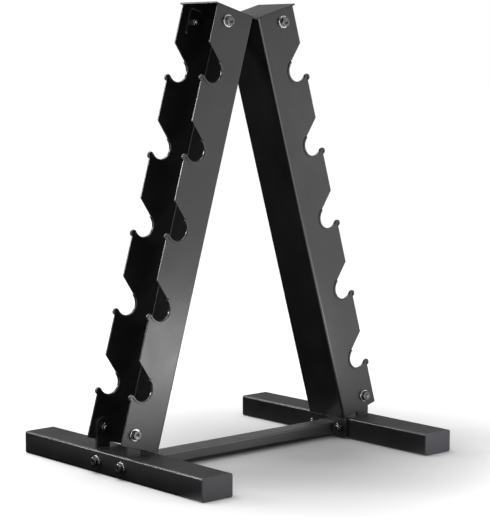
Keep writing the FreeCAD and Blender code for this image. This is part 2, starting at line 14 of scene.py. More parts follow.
import bmesh
import bpy
import numpy as np
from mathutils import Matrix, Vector


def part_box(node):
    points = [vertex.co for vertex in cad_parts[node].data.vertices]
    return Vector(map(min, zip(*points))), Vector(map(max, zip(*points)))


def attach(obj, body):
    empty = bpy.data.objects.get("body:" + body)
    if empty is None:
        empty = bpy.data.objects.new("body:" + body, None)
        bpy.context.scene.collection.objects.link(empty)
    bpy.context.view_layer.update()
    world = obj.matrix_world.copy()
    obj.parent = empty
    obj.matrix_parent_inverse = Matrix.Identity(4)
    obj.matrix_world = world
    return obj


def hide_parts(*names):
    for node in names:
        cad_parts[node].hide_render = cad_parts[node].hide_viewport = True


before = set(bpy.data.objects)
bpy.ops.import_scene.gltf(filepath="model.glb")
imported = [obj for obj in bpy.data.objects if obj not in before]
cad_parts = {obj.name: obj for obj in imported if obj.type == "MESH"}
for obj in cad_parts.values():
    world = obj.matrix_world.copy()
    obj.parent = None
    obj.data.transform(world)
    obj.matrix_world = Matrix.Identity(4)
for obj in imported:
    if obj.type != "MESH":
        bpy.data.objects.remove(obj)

LOG = logging.getLogger("dumbbell_rack")
MM = 0.001
WELD_STEP = 1e-7


class Side(Enum):
    """The two sides of the rack, as signs of X."""

    LEFT = -1
    RIGHT = 1


class End(Enum):
    """The front and the rear of the rack, as signs of Y."""

    FRONT = -1
    REAR = 1


class Slot(Enum):
    """The record's material slots."""

    COAT = "frame_coat"
    CAP = "end_cap"
    TRIM = "trim_plastic"
    STEEL = "bolt_steel"


def corner_name(side: Side, end: End) -> str:
    """Name one of the four corners of the rack, such as left_front."""
    return f"{side.name.lower()}_{end.name.lower()}"


# ------------------------------------------------------------------ surfaces

@dataclass
class Draft:
    """Points and faces of one mesh while it is being made."""

    points: list[np.ndarray] = field(default_factory=list)
    quads: list[np.ndarray] = field(default_factory=list)
    polygons: list[np.ndarray] = field(default_factory=list)
    total: int = 0

    def add(self, points: np.ndarray) -> int:
        """Store points.

        Args:
            points: the points, shaped (..., 3).

        Returns:
            The number of the first of them.
        """
        first = self.total
        self.points.append(points.reshape(-1, 3))
        self.total += points.size // 3
        return first

    def grid(self, surface: np.ndarray, wrap_rows: bool = False,
             wrap_columns: bool = False) -> None:
        """Cover a grid of points with quads.

        The quad (i, j) joins the points (i, j), (i, j+1), (i+1, j+1) and (i+1, j).

        Args:
            surface: points, shaped (rows, columns, 3).
            wrap_rows: join the last row to the first.
            wrap_columns: join the last column to the first.
        """
        rows, columns = surface.shape[:2]
        numbers = self.add(surface) + np.arange(rows * columns).reshape(rows, columns)
        if wrap_rows:
            numbers = np.vstack([numbers, numbers[:1]])
        if wrap_columns:
            numbers = np.hstack([numbers, numbers[:, :1]])
        corners = [numbers[:-1, :-1], numbers[:-1, 1:], numbers[1:, 1:], numbers[1:, :-1]]
        self.quads.append(np.stack(corners, axis=-1).reshape(-1, 4))

    def polygon(self, ring: np.ndarray) -> None:
        """Close a ring of points, shaped (n, 3), with one face."""
        self.polygons.append(self.add(ring) + np.arange(len(ring)))

    def tube(self, surface: np.ndarray) -> None:
        """Cover a grid whose columns wrap round, and close its first and last rows.

        Args:
            surface: points, shaped (rows, columns, 3).
        """
        self.grid(surface, wrap_columns=True)
        self.polygon(surface[0])
        self.polygon(surface[-1])

    def carry(self, place: np.ndarray) -> None:
        """Carry every point through a 4 by 4 placement."""
        self.points = [carried(place, points) for points in self.points]

    def build(self, name: str) -> bpy.types.Object:
        """Weld the points that meet and make the object.

        Points that round to the same cell of WELD_STEP become one, and the faces of
        the closed shell are then turned outwards.

        Args:
            name: the piece's name.

        Returns:
            The new object, at the origin.
        """
        points = np.concatenate(self.points)
        cells = np.round(points / WELD_STEP).astype(np.int64)
        _, kept, numbers = np.unique(cells, axis=0, return_index=True, return_inverse=True)
        numbers = numbers.reshape(-1)
        faces = [numbers[quads].tolist() for quads in self.quads]
        faces.append([numbers[polygon].tolist() for polygon in self.polygons])
        mesh = bpy.data.meshes.new(name)
        mesh.from_pydata(points[kept].tolist(), [], sum(faces, []))
        shell = bmesh.new()
        shell.from_mesh(mesh)
        bmesh.ops.recalc_face_normals(shell, faces=shell.faces)
        shell.to_mesh(mesh)
        shell.free()
        piece = bpy.data.objects.new(name, mesh)
        bpy.context.scene.collection.objects.link(piece)
        return piece


def carried(place: np.ndarray, points: np.ndarray) -> np.ndarray:
    """Carry points of any shape (..., 3) through a 4 by 4 placement."""
    return points @ place[:3, :3].T + place[:3, 3]


def placement(origin: tuple[float, float, float], along_x: tuple[float, float, float],
              along_z: tuple[float, float, float]) -> np.ndarray:
    """The 4 by 4 placement with these X and Z directions; Y is Z cross X.

    Args:
        origin: where its zero goes.
        along_x: the unit direction of its X.
        along_z: the unit direction of its Z.

    Returns:
        The placement, shaped (4, 4).
    """
    place = np.eye(4)
    place[:3, 0] = along_x
    place[:3, 1] = np.cross(along_z, along_x)
    place[:3, 2] = along_z
    place[:3, 3] = origin
    return place


def arc(centre: tuple[float, float], radius: float, start: float, stop: float,
        steps: int) -> np.ndarray:
    """Points on an arc: the centre plus the radius times (cos a, sin a).

    Args:
        centre: the arc's centre.
        radius: its radius.
        start: the first angle, in radians.
        stop: the last angle, in radians.
        steps: the number of chords.

    Returns:
        Points, shaped (steps + 1, 2).
    """
    angles = np.linspace(start, stop, steps + 1)
    return np.array(centre) + radius * np.column_stack([np.cos(angles), np.sin(angles)])


def rounded_rectangle(width: float, height: float, radius: float,
                      steps: int = 8) -> np.ndarray:
    """The outline of a rectangle with four quarter-circle corners, centred on zero.

    Args:
        width: its first measure.
        height: its second measure.
        radius: the corners' radius.
        steps: the number of chords to a corner.

    Returns:
        Points, shaped (4 * (steps + 1), 2).
    """
    x, y = width / 2 - radius, height / 2 - radius
    corners = [(x, y), (-x, y), (-x, -y), (x, -y)]
    quarter = math.pi / 2
    arcs = [arc(centre, radius, turn * quarter, (turn + 1) * quarter, steps)
            for turn, centre in enumerate(corners)]
    return np.concatenate(arcs)


def sweep(path: np.ndarray, across: np.ndarray, side: np.ndarray,
          section: np.ndarray) -> np.ndarray:
    """Carry a section along a path: path + across * u + side * v.

    Args:
        path: the path's points, shaped (n, 3).
        across: the direction of u at each point, shaped (n, 3) or (3,).
        side: the direction of v at each point, shaped (n, 3) or (3,).
        section: the section's points (u, v), shaped (m, 2) or (n, m, 2).

    Returns:
        The surface, shaped (n, m, 3).
    """
    across = np.broadcast_to(across, path.shape)
    side = np.broadcast_to(side, path.shape)
    return (path[:, None] + across[:, None] * section[..., :1]
            + side[:, None] * section[..., 1:])


def plate(outline: np.ndarray, back: float, front: float) -> Draft:
    """A flat plate: an outline in X and Z, given thickness from y=back to y=front.

    Args:
        outline: points, shaped (n, 2).
        back: Y of one face.
        front: Y of the other face.

    Returns:
        The plate.
    """
    draft = Draft()
    faces = [np.insert(outline, 1, y, axis=1) for y in (back, front)]
    draft.grid(np.stack(faces), wrap_columns=True)
    for face in faces:
        draft.polygon(face)
    return draft


def holed_plate(outline: np.ndarray, hole: float, back: float, front: float) -> Draft:
    """A flat plate with a round hole about zero.

    Each outline point p has a hole point, hole * p / |p|, so the four rings (hole and
    outline, at the back and at the front) close into one shell.

    Args:
        outline: points, shaped (n, 2).
        hole: the hole's radius.
        back: Y of one face.
        front: Y of the other face.

    Returns:
        The plate.
    """
    ring = hole * outline / np.linalg.norm(outline, axis=1, keepdims=True)
    rings = [(ring, back), (outline, back), (outline, front), (ring, front)]
    draft = Draft()
    surface = np.stack([np.insert(points, 1, y, axis=1) for points, y in rings])
    draft.grid(surface, wrap_rows=True, wrap_columns=True)
    return draft


# ------------------------------------------------------------------ finishing a piece

@dataclass(frozen=True)
class EdgeBreak:
    """The small rounding that a cut or moulded edge has."""

    width: float
    steps: int = 2
    sharper_than: float = math.radians(40)

    def apply(self, piece: bpy.types.Object) -> None:
        """Round a piece's sharp edges and keep its flat faces flat in the light.

        Args:
            piece: the piece.
        """
        rounding = piece.modifiers.new("edge_break", "BEVEL")
        rounding.width = self.width
        rounding.segments = self.steps
        rounding.limit_method = "ANGLE"
        rounding.angle_limit = self.sharper_than
        rounding.use_clamp_overlap = False
        flat = piece.modifiers.new("flat_faces", "WEIGHTED_NORMAL")
        flat.keep_sharp = True


SHEET_EDGE = EdgeBreak(0.45 * MM)
PLATE_EDGE = EdgeBreak(0.7 * MM)
EAR_EDGE = EdgeBreak(1.0 * MM)
TRIM_EDGE = EdgeBreak(0.3 * MM)
FASTENER_EDGE = EdgeBreak(0.25 * MM, sharper_than=math.radians(24))


def steady_faces(piece: bpy.types.Object) -> None:
    """Keep a rounded piece's flat faces flat, by weighting normals with their area."""
    piece.modifiers.new("flat_faces", "WEIGHTED_NORMAL")


def dress(piece: bpy.types.Object, material: bpy.types.Material, slot: Slot,
          *nodes: str) -> None:
    """Give a new piece its finish and its place on the rack.

    Args:
        piece: the piece.
        material: its finish.
        slot: the record's material slot; not used.
        nodes: the frame's nodes that it stands for.
    """
    piece.data.materials.append(material)
    piece.data.shade_smooth()
    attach(piece, "root")
    if nodes:
        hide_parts(*nodes)
    LOG.info("piece %s: %d points", piece.name, len(piece.data.vertices))


# ------------------------------------------------------------------ shader groups

@dataclass(frozen=True)
class Ramp:
    """A straight ramp: low..high becomes start..stop, held at both ends."""

    low: float
    high: float
    start: float = 0.0
    stop: float = 1.0


class Wiring:
    """Adds nodes to a shader tree and joins them."""

    def __init__(self, tree: bpy.types.NodeTree) -> None:
        """Work on this tree."""
        self.tree = tree

    def add(self, kind: str, values: dict | None = None, **settings: object) -> bpy.types.Node:
        """Add a node.

        Args:
            kind: the node's type, without its ShaderNode prefix.
            values: for each input, a constant or the output that feeds it.
            settings: the node's own properties.

        Returns:
            The node.
        """
        node = self.tree.nodes.new(f"ShaderNode{kind}")
        for name, value in settings.items():
            setattr(node, name, value)
        self.feed(node, values or {})
        return node

    def feed(self, node: bpy.types.Node, values: dict) -> None:
        """Set each named input, or link it where the value is another node's output.

        Args:
            node: the node.
            values: for each input, a constant or an output.
        """
        for key, value in values.items():
            if isinstance(value, bpy.types.NodeSocket):
                self.tree.links.new(value, node.inputs[key])
            else:
                node.inputs[key].default_value = value

    def math(self, operation: str, first: object, second: object = 0.0,
             clamp: bool = False) -> bpy.types.NodeSocket:
        """The result of a Math node on two values.

        Args:
            operation: the node's operation.
            first: the first number or output.
            second: the second one.
            clamp: hold the result between 0 and 1.

        Returns:
            The result.
        """
        node = self.add("Math", {0: first, 1: second}, operation=operation)
        node.use_clamp = clamp
        return node.outputs[0]

    def noise(self, position: object, scale: object, detail: float = 2.0,
              roughness: float = 0.5) -> bpy.types.NodeSocket:
        """The grey value of a noise texture.

        Args:
            position: the output that places it.
            scale: how fine it is.
            detail: its octaves.
            roughness: how strong the finer octaves are.

        Returns:
            The value, from 0 to 1.
        """
        values = {"Vector": position, "Scale": scale, "Detail": detail,
                  "Roughness": roughness}
        return self.add("TexNoise", values).outputs[0]

    def spread(self, value: object, low: float, high: float, to_low: object,
               to_high: object) -> bpy.types.NodeSocket:
        """Map a value from low..high to to_low..to_high, held at both ends.

        Args:
            value: the number or output to map.
            low: where the ramp starts.
            high: where the ramp stops.
            to_low: the result at its start.
            to_high: the result at its stop.

        Returns:
            The result.
        """
        values = {"Value": value, "From Min": low, "From Max": high,
                  "To Min": to_low, "To Max": to_high}
        return self.add("MapRange", values).outputs[0]

    def ramp(self, value: object, ramp: Ramp) -> bpy.types.NodeSocket:
        """Map a value by a ramp."""
        return self.spread(value, ramp.low, ramp.high, ramp.start, ramp.stop)

    def blend(self, share: object, first: object, second: object) -> bpy.types.NodeSocket:
        """A colour between two colours."""
        node = self.add("Mix", {0: share, 6: first, 7: second}, data_type="RGBA")
        return node.outputs[2]

    def group(self, group: bpy.types.NodeTree, values: dict) -> bpy.types.Node:
        """Place a shader group with its own values.

        Args:
            group: the group.
            values: for each input, a constant or an output.

        Returns:
            Its node.
        """
        node = self.add("Group", node_tree=group)
        self.feed(node, values)
        return node


def new_group(name: str, inputs: dict[str, float | None],
              outputs: list[str]) -> tuple[Wiring, bpy.types.Node, bpy.types.Node]:
    """Start a shader group.

    Args:
        name: the group's name.
        inputs: for each input its usual number, or None for a vector.
        outputs: names of the number outputs.

    Returns:
        Its wiring, its input node and its output node.
    """
    tree = bpy.data.node_groups.new(name, "ShaderNodeTree")
    for label, number in inputs.items():
        kind = "NodeSocketVector" if number is None else "NodeSocketFloat"
        socket = tree.interface.new_socket(label, in_out="INPUT", socket_type=kind)
        if number is not None:
            socket.default_value = number
    for label in outputs:
        tree.interface.new_socket(label, in_out="OUTPUT", socket_type="NodeSocketFloat")
    return Wiring(tree), tree.nodes.new("NodeGroupInput"), tree.nodes.new("NodeGroupOutput")


MOTTLE_RAMP = Ramp(0.3, 0.7)
EDGE_RAMP = Ramp(0.75, 0.985, 1.0, 0.0)
WEAR_AND_HIGHLIGHT_BREAKUP_RAMP = Ramp(0.35, 0.62, 0.25, 1.0)
DUST_PATCH_RAMP = Ramp(0.3, 0.75, 0.3, 1.0)
DUST_RISE_POWER = 2.0


def make_surface_grain() -> bpy.types.NodeTree:
    """The skin of a coating or a moulding: soft peel, fine grain and slow mottle.

    Height is the peel plus the grain, each a noise of its own scale.  Mottle is a slow
    noise, stretched to run from 0 to 1, that shifts colour and gloss by a little.

    Returns:
        The group.
    """
    inputs = {"Position": None, "Peel Scale": 600.0, "Grain Scale": 2600.0,
              "Grain Share": 0.35, "Mottle Scale": 14.0}
    wiring, given, result = new_group("surface_grain", inputs, ["Height", "Mottle"])
    socket = given.outputs
    peel = wiring.noise(socket["Position"], socket["Peel Scale"], detail=1.0)
    grain = wiring.noise(socket["Position"], socket["Grain Scale"], detail=2.0,
                         roughness=0.6)
    share = wiring.math("MULTIPLY", grain, socket["Grain Share"])
    slow = wiring.noise(socket["Position"], socket["Mottle Scale"], detail=4.0,
                        roughness=0.6)
    wiring.tree.links.new(wiring.math("ADD", peel, share), result.inputs["Height"])
    wiring.tree.links.new(wiring.ramp(slow, MOTTLE_RAMP), result.inputs["Mottle"])
    return wiring.tree


def make_edge_wear_and_highlight() -> bpy.types.NodeTree:
    """Where an edge shows wear, and where it carries a painted edge highlight.

    A normal rounded over a small width leaves the face's own normal only near an edge.
    The mask is a ramp on their dot product, from 1 where they differ to 0 where they
    agree, times a noise that breaks it up.

    Returns:
        The group.
    """
    inputs = {"Position": None, "Width": 0.8 * MM, "Breakup Scale": 90.0}
    wiring, given, result = new_group("edge_wear_and_highlight", inputs, ["Mask"])
    rounded = wiring.add("Bevel", {"Radius": given.outputs["Width"]}, samples=4)
    facing = wiring.add("NewGeometry").outputs["Normal"]
    values = {0: rounded.outputs["Normal"], 1: facing}
    alike = wiring.add("VectorMath", values, operation="DOT_PRODUCT").outputs["Value"]
    edge = wiring.ramp(alike, EDGE_RAMP)
    noise = wiring.noise(given.outputs["Position"], given.outputs["Breakup Scale"],
                         detail=3.0, roughness=0.7)
    broken = wiring.ramp(noise, WEAR_AND_HIGHLIGHT_BREAKUP_RAMP)
    wiring.tree.links.new(wiring.math("MULTIPLY", edge, broken), result.inputs["Mask"])
    return wiring.tree


def make_settled_dust() -> bpy.types.NodeTree:
    """A thin film on faces that look up: the square of the normal's rise, times noise.

    Returns:
        The group.
    """
    inputs = {"Position": None, "Amount": 0.2, "Patch Scale": 30.0}
    wiring, given, result = new_group("settled_dust", inputs, ["Mask"])
    facing = wiring.add("NewGeometry").outputs["Normal"]
    rise = wiring.add("SeparateXYZ", {0: facing}).outputs["Z"]
    upward = wiring.math("POWER", wiring.math("MAXIMUM", rise, 0.0), DUST_RISE_POWER)
    noise = wiring.noise(given.outputs["Position"], given.outputs["Patch Scale"],
                         detail=5.0, roughness=0.7)
    patches = wiring.ramp(noise, DUST_PATCH_RAMP)
    film = wiring.math("MULTIPLY", upward, patches)
    wiring.tree.links.new(wiring.math("MULTIPLY", film, given.outputs["Amount"]),
                          result.inputs["Mask"])
    return wiring.tree


@dataclass
class Effects:
    """The shader groups that the finishes share."""

    grain: bpy.types.NodeTree = field(default_factory=make_surface_grain)
    # Edge mask: partly real wear, partly a painted edge highlight.
    wear_and_highlight: bpy.types.NodeTree = field(default_factory=make_edge_wear_and_highlight)
    dust: bpy.types.NodeTree = field(default_factory=make_settled_dust)


# ------------------------------------------------------------------ finishes

Colour = tuple[float, float, float, float]


def grey(value: float, tint: float = 0.0) -> Colour:
    """A grey colour; tint shifts it a little towards blue."""
    return (value * (1 - tint / 2), value * (1 - tint / 2), value * (1 + tint), 1.0)


DUST_COLOUR = grey(0.25)
BLACK = grey(0.0)
WHITE = grey(1.0)


@dataclass(frozen=True)
class Coating:
    """A skin over metal or a moulded plastic: powder coat, cap or trim.

    Colour and roughness move a little with the mottle, the edges are paler and smoother,
    partly as real wear and partly as a painted edge highlight, and dust is paler and rougher.
    """

    name: str
    dark: Colour
    light: Colour
    worn_and_highlit: Colour
    roughness: float
    roughness_spread: float
    peel_scale: float
    grain_scale: float
    grain_share: float
    bump_depth: float
    wear_and_highlight_width: float
    wear_and_highlight_share: float
    dust: float
    specular: float = 0.5
    wear_and_highlight_polish: float = 0.12
    dust_roughness: float = 0.4
    bump_strength: float = 0.6

    def make(self, effects: Effects) -> bpy.types.Material:
        """Build the material.

        Args:
            effects: the shared shader groups.

        Returns:
            The material.
        """
        material = bpy.data.materials.new(self.name)
        material.use_nodes = True
        tree = material.node_tree
        tree.nodes.clear()
        wiring = Wiring(tree)
        position = wiring.add("TexCoord").outputs["Object"]
        skin = wiring.group(effects.grain, {
            "Position": position, "Peel Scale": self.peel_scale,
            "Grain Scale": self.grain_scale, "Grain Share": self.grain_share})
        wear_and_highlight = wiring.group(effects.wear_and_highlight, {"Position": position, "Width": self.wear_and_highlight_width})
        dust = wiring.group(effects.dust, {"Position": position, "Amount": self.dust})
        mottle = skin.outputs["Mottle"]
        # Paler, smoother edges: partly real wear, partly a painted edge highlight.
        worn_and_highlit = wiring.math("MULTIPLY", wear_and_highlight.outputs["Mask"], self.wear_and_highlight_share)
        body = wiring.blend(mottle, self.dark, self.light)
        with_wear_and_highlight = wiring.blend(worn_and_highlit, body, self.worn_and_highlit)
        dusty = wiring.blend(dust.outputs["Mask"], with_wear_and_highlight, DUST_COLOUR)
        rough = wiring.spread(mottle, 0.0, 1.0, self.roughness - self.roughness_spread,
                              self.roughness + self.roughness_spread)
        smoother = wiring.math("SUBTRACT", rough, wiring.math("MULTIPLY", worn_and_highlit, self.wear_and_highlight_polish))
        film = wiring.math("MULTIPLY", dust.outputs["Mask"], self.dust_roughness)
        rougher = wiring.math("ADD", smoother, film, True)
        bump = wiring.add("Bump", {
            "Height": skin.outputs["Height"], "Strength": self.bump_strength,
            "Distance": self.bump_depth})
        shader = wiring.add("BsdfPrincipled", {
            "Base Color": dusty, "Roughness": rougher, "Normal": bump.outputs["Normal"],
            "Specular IOR Level": self.specular})
        wiring.add("OutputMaterial", {"Surface": shader.outputs[0]})
        return material


POWDER_COAT = Coating(
    "satin_black_powder_coat", dark=grey(0.006, 0.05), light=grey(0.009, 0.08),
    worn_and_highlit=grey(0.045), roughness=0.31, roughness_spread=0.05, peel_scale=420.0,
    grain_scale=1500.0, grain_share=0.5, bump_depth=0.08 * MM, wear_and_highlight_width=0.9 * MM,
    wear_and_highlight_share=0.7, dust=0.035)
# A lighter, glossier copy of the powder coat: painted light, so that the crossbar's front face
# reads brighter.
LIGHTENED_CROSSBAR_COAT = replace(
    POWDER_COAT, name="crossbar_powder_coat", dark=grey(0.010, 0.05),
    light=grey(0.013, 0.08), roughness=0.42, specular=0.9)
CAP_PLASTIC = Coating(
    "cap_plastic", dark=grey(0.022, 0.10), light=grey(0.028, 0.14), worn_and_highlit=grey(0.06),
    roughness=0.46, roughness_spread=0.05, peel_scale=900.0, grain_scale=3200.0,
    grain_share=0.6, bump_depth=0.05 * MM, wear_and_highlight_width=0.8 * MM, wear_and_highlight_share=0.5, dust=0.03,
    specular=0.3)
TRIM_PLASTIC = Coating(
    "trim_plastic", dark=grey(0.012), light=grey(0.018), worn_and_highlit=grey(0.05),
    roughness=0.27, roughness_spread=0.04, peel_scale=700.0, grain_scale=3000.0,
    grain_share=0.3, bump_depth=0.03 * MM, wear_and_highlight_width=0.6 * MM, wear_and_highlight_share=0.5, dust=0.02)
WELD_COAT = Coating(
    "coated_weld_bead", dark=grey(0.010), light=grey(0.016), worn_and_highlit=grey(0.04),
    roughness=0.42, roughness_spread=0.06, peel_scale=800.0, grain_scale=2600.0,
    grain_share=0.5, bump_depth=0.09 * MM, wear_and_highlight_width=0.6 * MM, wear_and_highlight_share=0.4, dust=0.03)


@dataclass(frozen=True)
class PlatedSteel:
    """Black nickel on a fastener, clouded, and bright at its edges, partly from wear of the
    plating and partly as a painted highlight.
    """

    name: str = "black_nickel_plating"
    bright: Colour = grey(0.13, 0.04)
    dull: Colour = grey(0.075, 0.04)
    worn_and_highlit: Colour = grey(0.75)
    wear_and_highlight_width: float = 1.1 * MM
    roughness: float = 0.26
    roughness_spread: float = 0.07
    cloud_scale: float = 260.0
    brush_scale: float = 1800.0
    grain_scale: float = 5200.0
    grain_share: float = 0.5
    bump_depth: float = 0.03 * MM
    bump_strength: float = 0.4

    def make(self, effects: Effects) -> bpy.types.Material:
        """Build the material.

        Args:
            effects: the shared shader groups.

        Returns:
            The material.
        """
        material = bpy.data.materials.new(self.name)
        material.use_nodes = True
        tree = material.node_tree
        tree.nodes.clear()
        wiring = Wiring(tree)
        position = wiring.add("TexCoord").outputs["Object"]
        skin = wiring.group(effects.grain, {
            "Position": position, "Peel Scale": self.brush_scale,
            "Grain Scale": self.grain_scale, "Grain Share": self.grain_share,
            "Mottle Scale": self.cloud_scale})
        wear_and_highlight = wiring.group(effects.wear_and_highlight, {"Position": position, "Width": self.wear_and_highlight_width})
        cloud = wiring.blend(skin.outputs["Mottle"], self.bright, self.dull)
        # Bright edges: partly worn plating, partly a painted highlight on the rims.
        colour = wiring.blend(wear_and_highlight.outputs["Mask"], cloud, self.worn_and_highlit)
        rough = wiring.spread(skin.outputs["Mottle"], 0.0, 1.0,
                              self.roughness - self.roughness_spread,
                              self.roughness + self.roughness_spread)
        bump = wiring.add("Bump", {
            "Height": skin.outputs["Height"], "Strength": self.bump_strength,
            "Distance": self.bump_depth})
        shader = wiring.add("BsdfPrincipled", {
            "Base Color": colour, "Metallic": 1.0, "Roughness": rough,
            "Normal": bump.outputs["Normal"]})
        wiring.add("OutputMaterial", {"Surface": shader.outputs[0]})
        return material


DARK_BOLTS = PlatedSteel()
PALE_WASHERS = PlatedSteel("pale_nickel_plating", bright=grey(0.52), dull=grey(0.34))


@dataclass
class Finishes:
    """The rack's materials."""

    effects: Effects = field(default_factory=Effects)

    def __post_init__(self) -> None:
        """Make each material once."""
        self.coat = POWDER_COAT.make(self.effects)
        # The crossbar gets the lighter copy of the coat: painted light.
        self.crossbar = LIGHTENED_CROSSBAR_COAT.make(self.effects)
        self.cap = CAP_PLASTIC.make(self.effects)
        self.trim = TRIM_PLASTIC.make(self.effects)
        self.weld = WELD_COAT.make(self.effects)
        self.steel = DARK_BOLTS.make(self.effects)
        self.washer = PALE_WASHERS.make(self.effects)


# ------------------------------------------------------------------ the uprights' frame

@dataclass(frozen=True)
class Lean:
    """The leaning frame of an upright: x outwards from the back of its web, z up it."""

    angle: float = math.radians(16.27)
    length: float = 773.5 * MM
    depth: float = 84.5 * MM
    width: float = 97 * MM
    wall: float = 3 * MM
    bend: float = 5 * MM

    def toe(self) -> tuple[float, float]:
        """The web's bottom corner: its X, from the box of the right upright, and its Z."""
        low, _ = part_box("right_upright")
        return low.x + self.length * math.sin(self.angle), low.z

    def place(self, side: Side) -> np.ndarray:
        """The 4 by 4 placement of an upright; the left one is turned about the middle.

        Args:
            side: the side that it stands on.

        Returns:
            The placement, shaped (4, 4).
        """
        toe_x, toe_z = self.toe()
        outward = (side.value * math.cos(self.angle), 0, math.sin(self.angle))
        upward = (-side.value * math.sin(self.angle), 0, math.cos(self.angle))
        return placement((side.value * toe_x, 0, toe_z), outward, upward)


LEAN = Lean()


def local_sign(side: Side, end: End) -> int:
    """Sign of local y on an upright for a flange at the front or the rear."""
    return side.value * end.value


# ------------------------------------------------------------------ notches and trims

@dataclass(frozen=True)
class Notch:
    """A handle notch: a straight mouth, a round seat and a rounded nose before it."""

    tiers: int = 5
    pitch: float = 140 * MM
    seat_drop: float = 113.5 * MM
    seat_inset: float = 20 * MM
    seat_radius: float = 22 * MM
    mouth_rise: float = 45.5 * MM
    nose_inset: float = 1 * MM
    nose_radius: float = 4 * MM
    seat_steps: int = 44
    nose_steps: int = 22

    def seat(self, tier: int) -> np.ndarray:
        """Centre of a seat in the upright's frame, (x, z), counted from the top."""
        height = LEAN.length - self.seat_drop - (tier - 1) * self.pitch
        return np.array([LEAN.depth - self.seat_inset, height])

    def slope(self) -> float:
        """Angle of the mouth above level, where it is a tangent of the seat."""
        reach = math.hypot(self.seat_inset, self.mouth_rise)
        return math.atan2(self.mouth_rise, self.seat_inset) - math.asin(self.seat_radius / reach)

    def nose(self) -> np.ndarray:
        """Centre of the nose from the centre of the seat, one radius from the other."""
        x = self.seat_inset - self.nose_inset
        return np.array([x, -math.sqrt((self.seat_radius + self.nose_radius) ** 2 - x ** 2)])

    def angles(self) -> tuple[np.ndarray, np.ndarray]:
        """Angles along the seat's arc, and along the nose's as far as the flange edge.

        Returns:
            Two arrays of angles, in radians.
        """
        contact = math.atan2(self.nose()[1], self.nose()[0])
        foot = -math.acos(self.nose_inset / self.nose_radius)
        seat = np.linspace(self.slope() + math.pi / 2, contact + 2 * math.pi,
                           self.seat_steps + 1)
        return seat, np.linspace(contact + math.pi, foot, self.nose_steps + 1)

    def edge(self, tier: int) -> np.ndarray:
        """The cut edge of a notch, from the mouth's corner down to below the nose.

        The seat's points are its centre plus seat_radius * (cos a, sin a), and the
        nose's are its centre plus nose_radius * (cos b, sin b).

        Args:
            tier: the notch's number from the top.

        Returns:
            Points (x, z), shaped (n, 2).
        """
        seat, nose = self.angles()
        centre = self.seat(tier)
        mouth = np.array([[LEAN.depth, centre[1] + self.mouth_rise]])
        bowl = arc(centre, self.seat_radius, seat[0], seat[-1], self.seat_steps)
        tip = arc(centre + self.nose(), self.nose_radius, nose[0], nose[-1], self.nose_steps)
        return np.concatenate([mouth, bowl, tip[1:]])


NOTCH = Notch()


@dataclass
class NotchTrim:
    """A plastic edge trim with a U section, pushed on a notch's cut edge."""

    side: Side
    end: End
    tier: int
    wall: float = 2.2 * MM
    leg: float = 2.2 * MM
    width: float = 5.8 * MM
    groove: float = LEAN.wall
    crown: float = 1.9 * MM
    lip: float = 0.5 * MM
    lead: float = 4 * MM
    lead_steps: int = 3
    crown_steps: int = 7
    lip_steps: int = 3
    tail: float = math.radians(-75)

    def section(self) -> np.ndarray:
        """The U: u runs into the steel and v along the sheet's thickness.

        Two crown arcs round the face towards the handle, two lip arcs round each leg's
        end on the outside, and the groove is square.

        Returns:
            Points (u, v), shaped (n, 2).
        """
        quarter = math.pi / 2
        half = self.width / 2
        crown_u, crown_v = self.crown - self.wall, half - self.crown
        lip_u, lip_v = self.leg - self.lip, half - self.lip
        low_crown = arc((crown_u, -crown_v), self.crown, 3 * quarter, 2 * quarter,
                        self.crown_steps)
        high_crown = arc((crown_u, crown_v), self.crown, 2 * quarter, quarter,
                         self.crown_steps)
        high_lip = arc((lip_u, lip_v), self.lip, quarter, 0, self.lip_steps)
        low_lip = arc((lip_u, -lip_v), self.lip, 0, -quarter, self.lip_steps)
        groove = np.array([[self.leg, self.groove / 2], [0, self.groove / 2],
                           [0, -self.groove / 2], [self.leg, -self.groove / 2]])
        return np.concatenate([low_crown, high_crown, high_lip, groove, low_lip])

    def path(self) -> tuple[np.ndarray, np.ndarray]:
        """The steel's edge about the seat's centre, and the direction into the steel.

        The lead is a straight line that ends at the seat.  On the seat the direction
        is (cos a, sin a), and on the nose it is -(cos b, sin b).

        Returns:
            The points and the directions, each (x, z) and shaped (n, 2).
        """
        seat, nose = NOTCH.angles()
        nose = np.linspace(nose[0], self.tail, NOTCH.nose_steps + 1)[1:]
        rays = np.column_stack([np.cos(seat), np.sin(seat)])
        slope = NOTCH.slope()
        back = np.linspace(self.lead, 0, self.lead_steps, endpoint=False)[:, None]
        start = NOTCH.seat_radius * rays[0]
        lead = start + back * np.array([math.cos(slope), math.sin(slope)])
        tips = np.column_stack([np.cos(nose), np.sin(nose)])
        points = [lead, NOTCH.seat_radius * rays, NOTCH.nose() + NOTCH.nose_radius * tips]
        into = [np.repeat(rays[:1], len(lead), axis=0), rays, -tips]
        return np.concatenate(points), np.concatenate(into)

    def build(self, finishes: Finishes) -> None:
        """Sweep the section along the edge, round both ends off and place the trim.

        Args:
            finishes: the rack's materials.
        """
        points, into = self.path()
        seat_x, seat_z = NOTCH.seat(self.tier)
        middle = local_sign(self.side, self.end) * (LEAN.width - LEAN.wall) / 2
        path = np.insert(points, 1, 0.0, axis=1) + (seat_x, middle, seat_z)
        surface = sweep(path, np.insert(into, 1, 0.0, axis=1), np.array([0.0, 1.0, 0.0]),
                        self.section())
        draft = Draft()
        draft.tube(carried(LEAN.place(self.side), surface))
        name = f"{corner_name(self.side, self.end)}_trim_{self.tier}"
        piece = draft.build(name)
        TRIM_EDGE.apply(piece)
        dress(piece, finishes.trim, Slot.TRIM,
              f"{corner_name(self.side, self.end)}_notch_trim_{self.tier}")


# ------------------------------------------------------------------ uprights

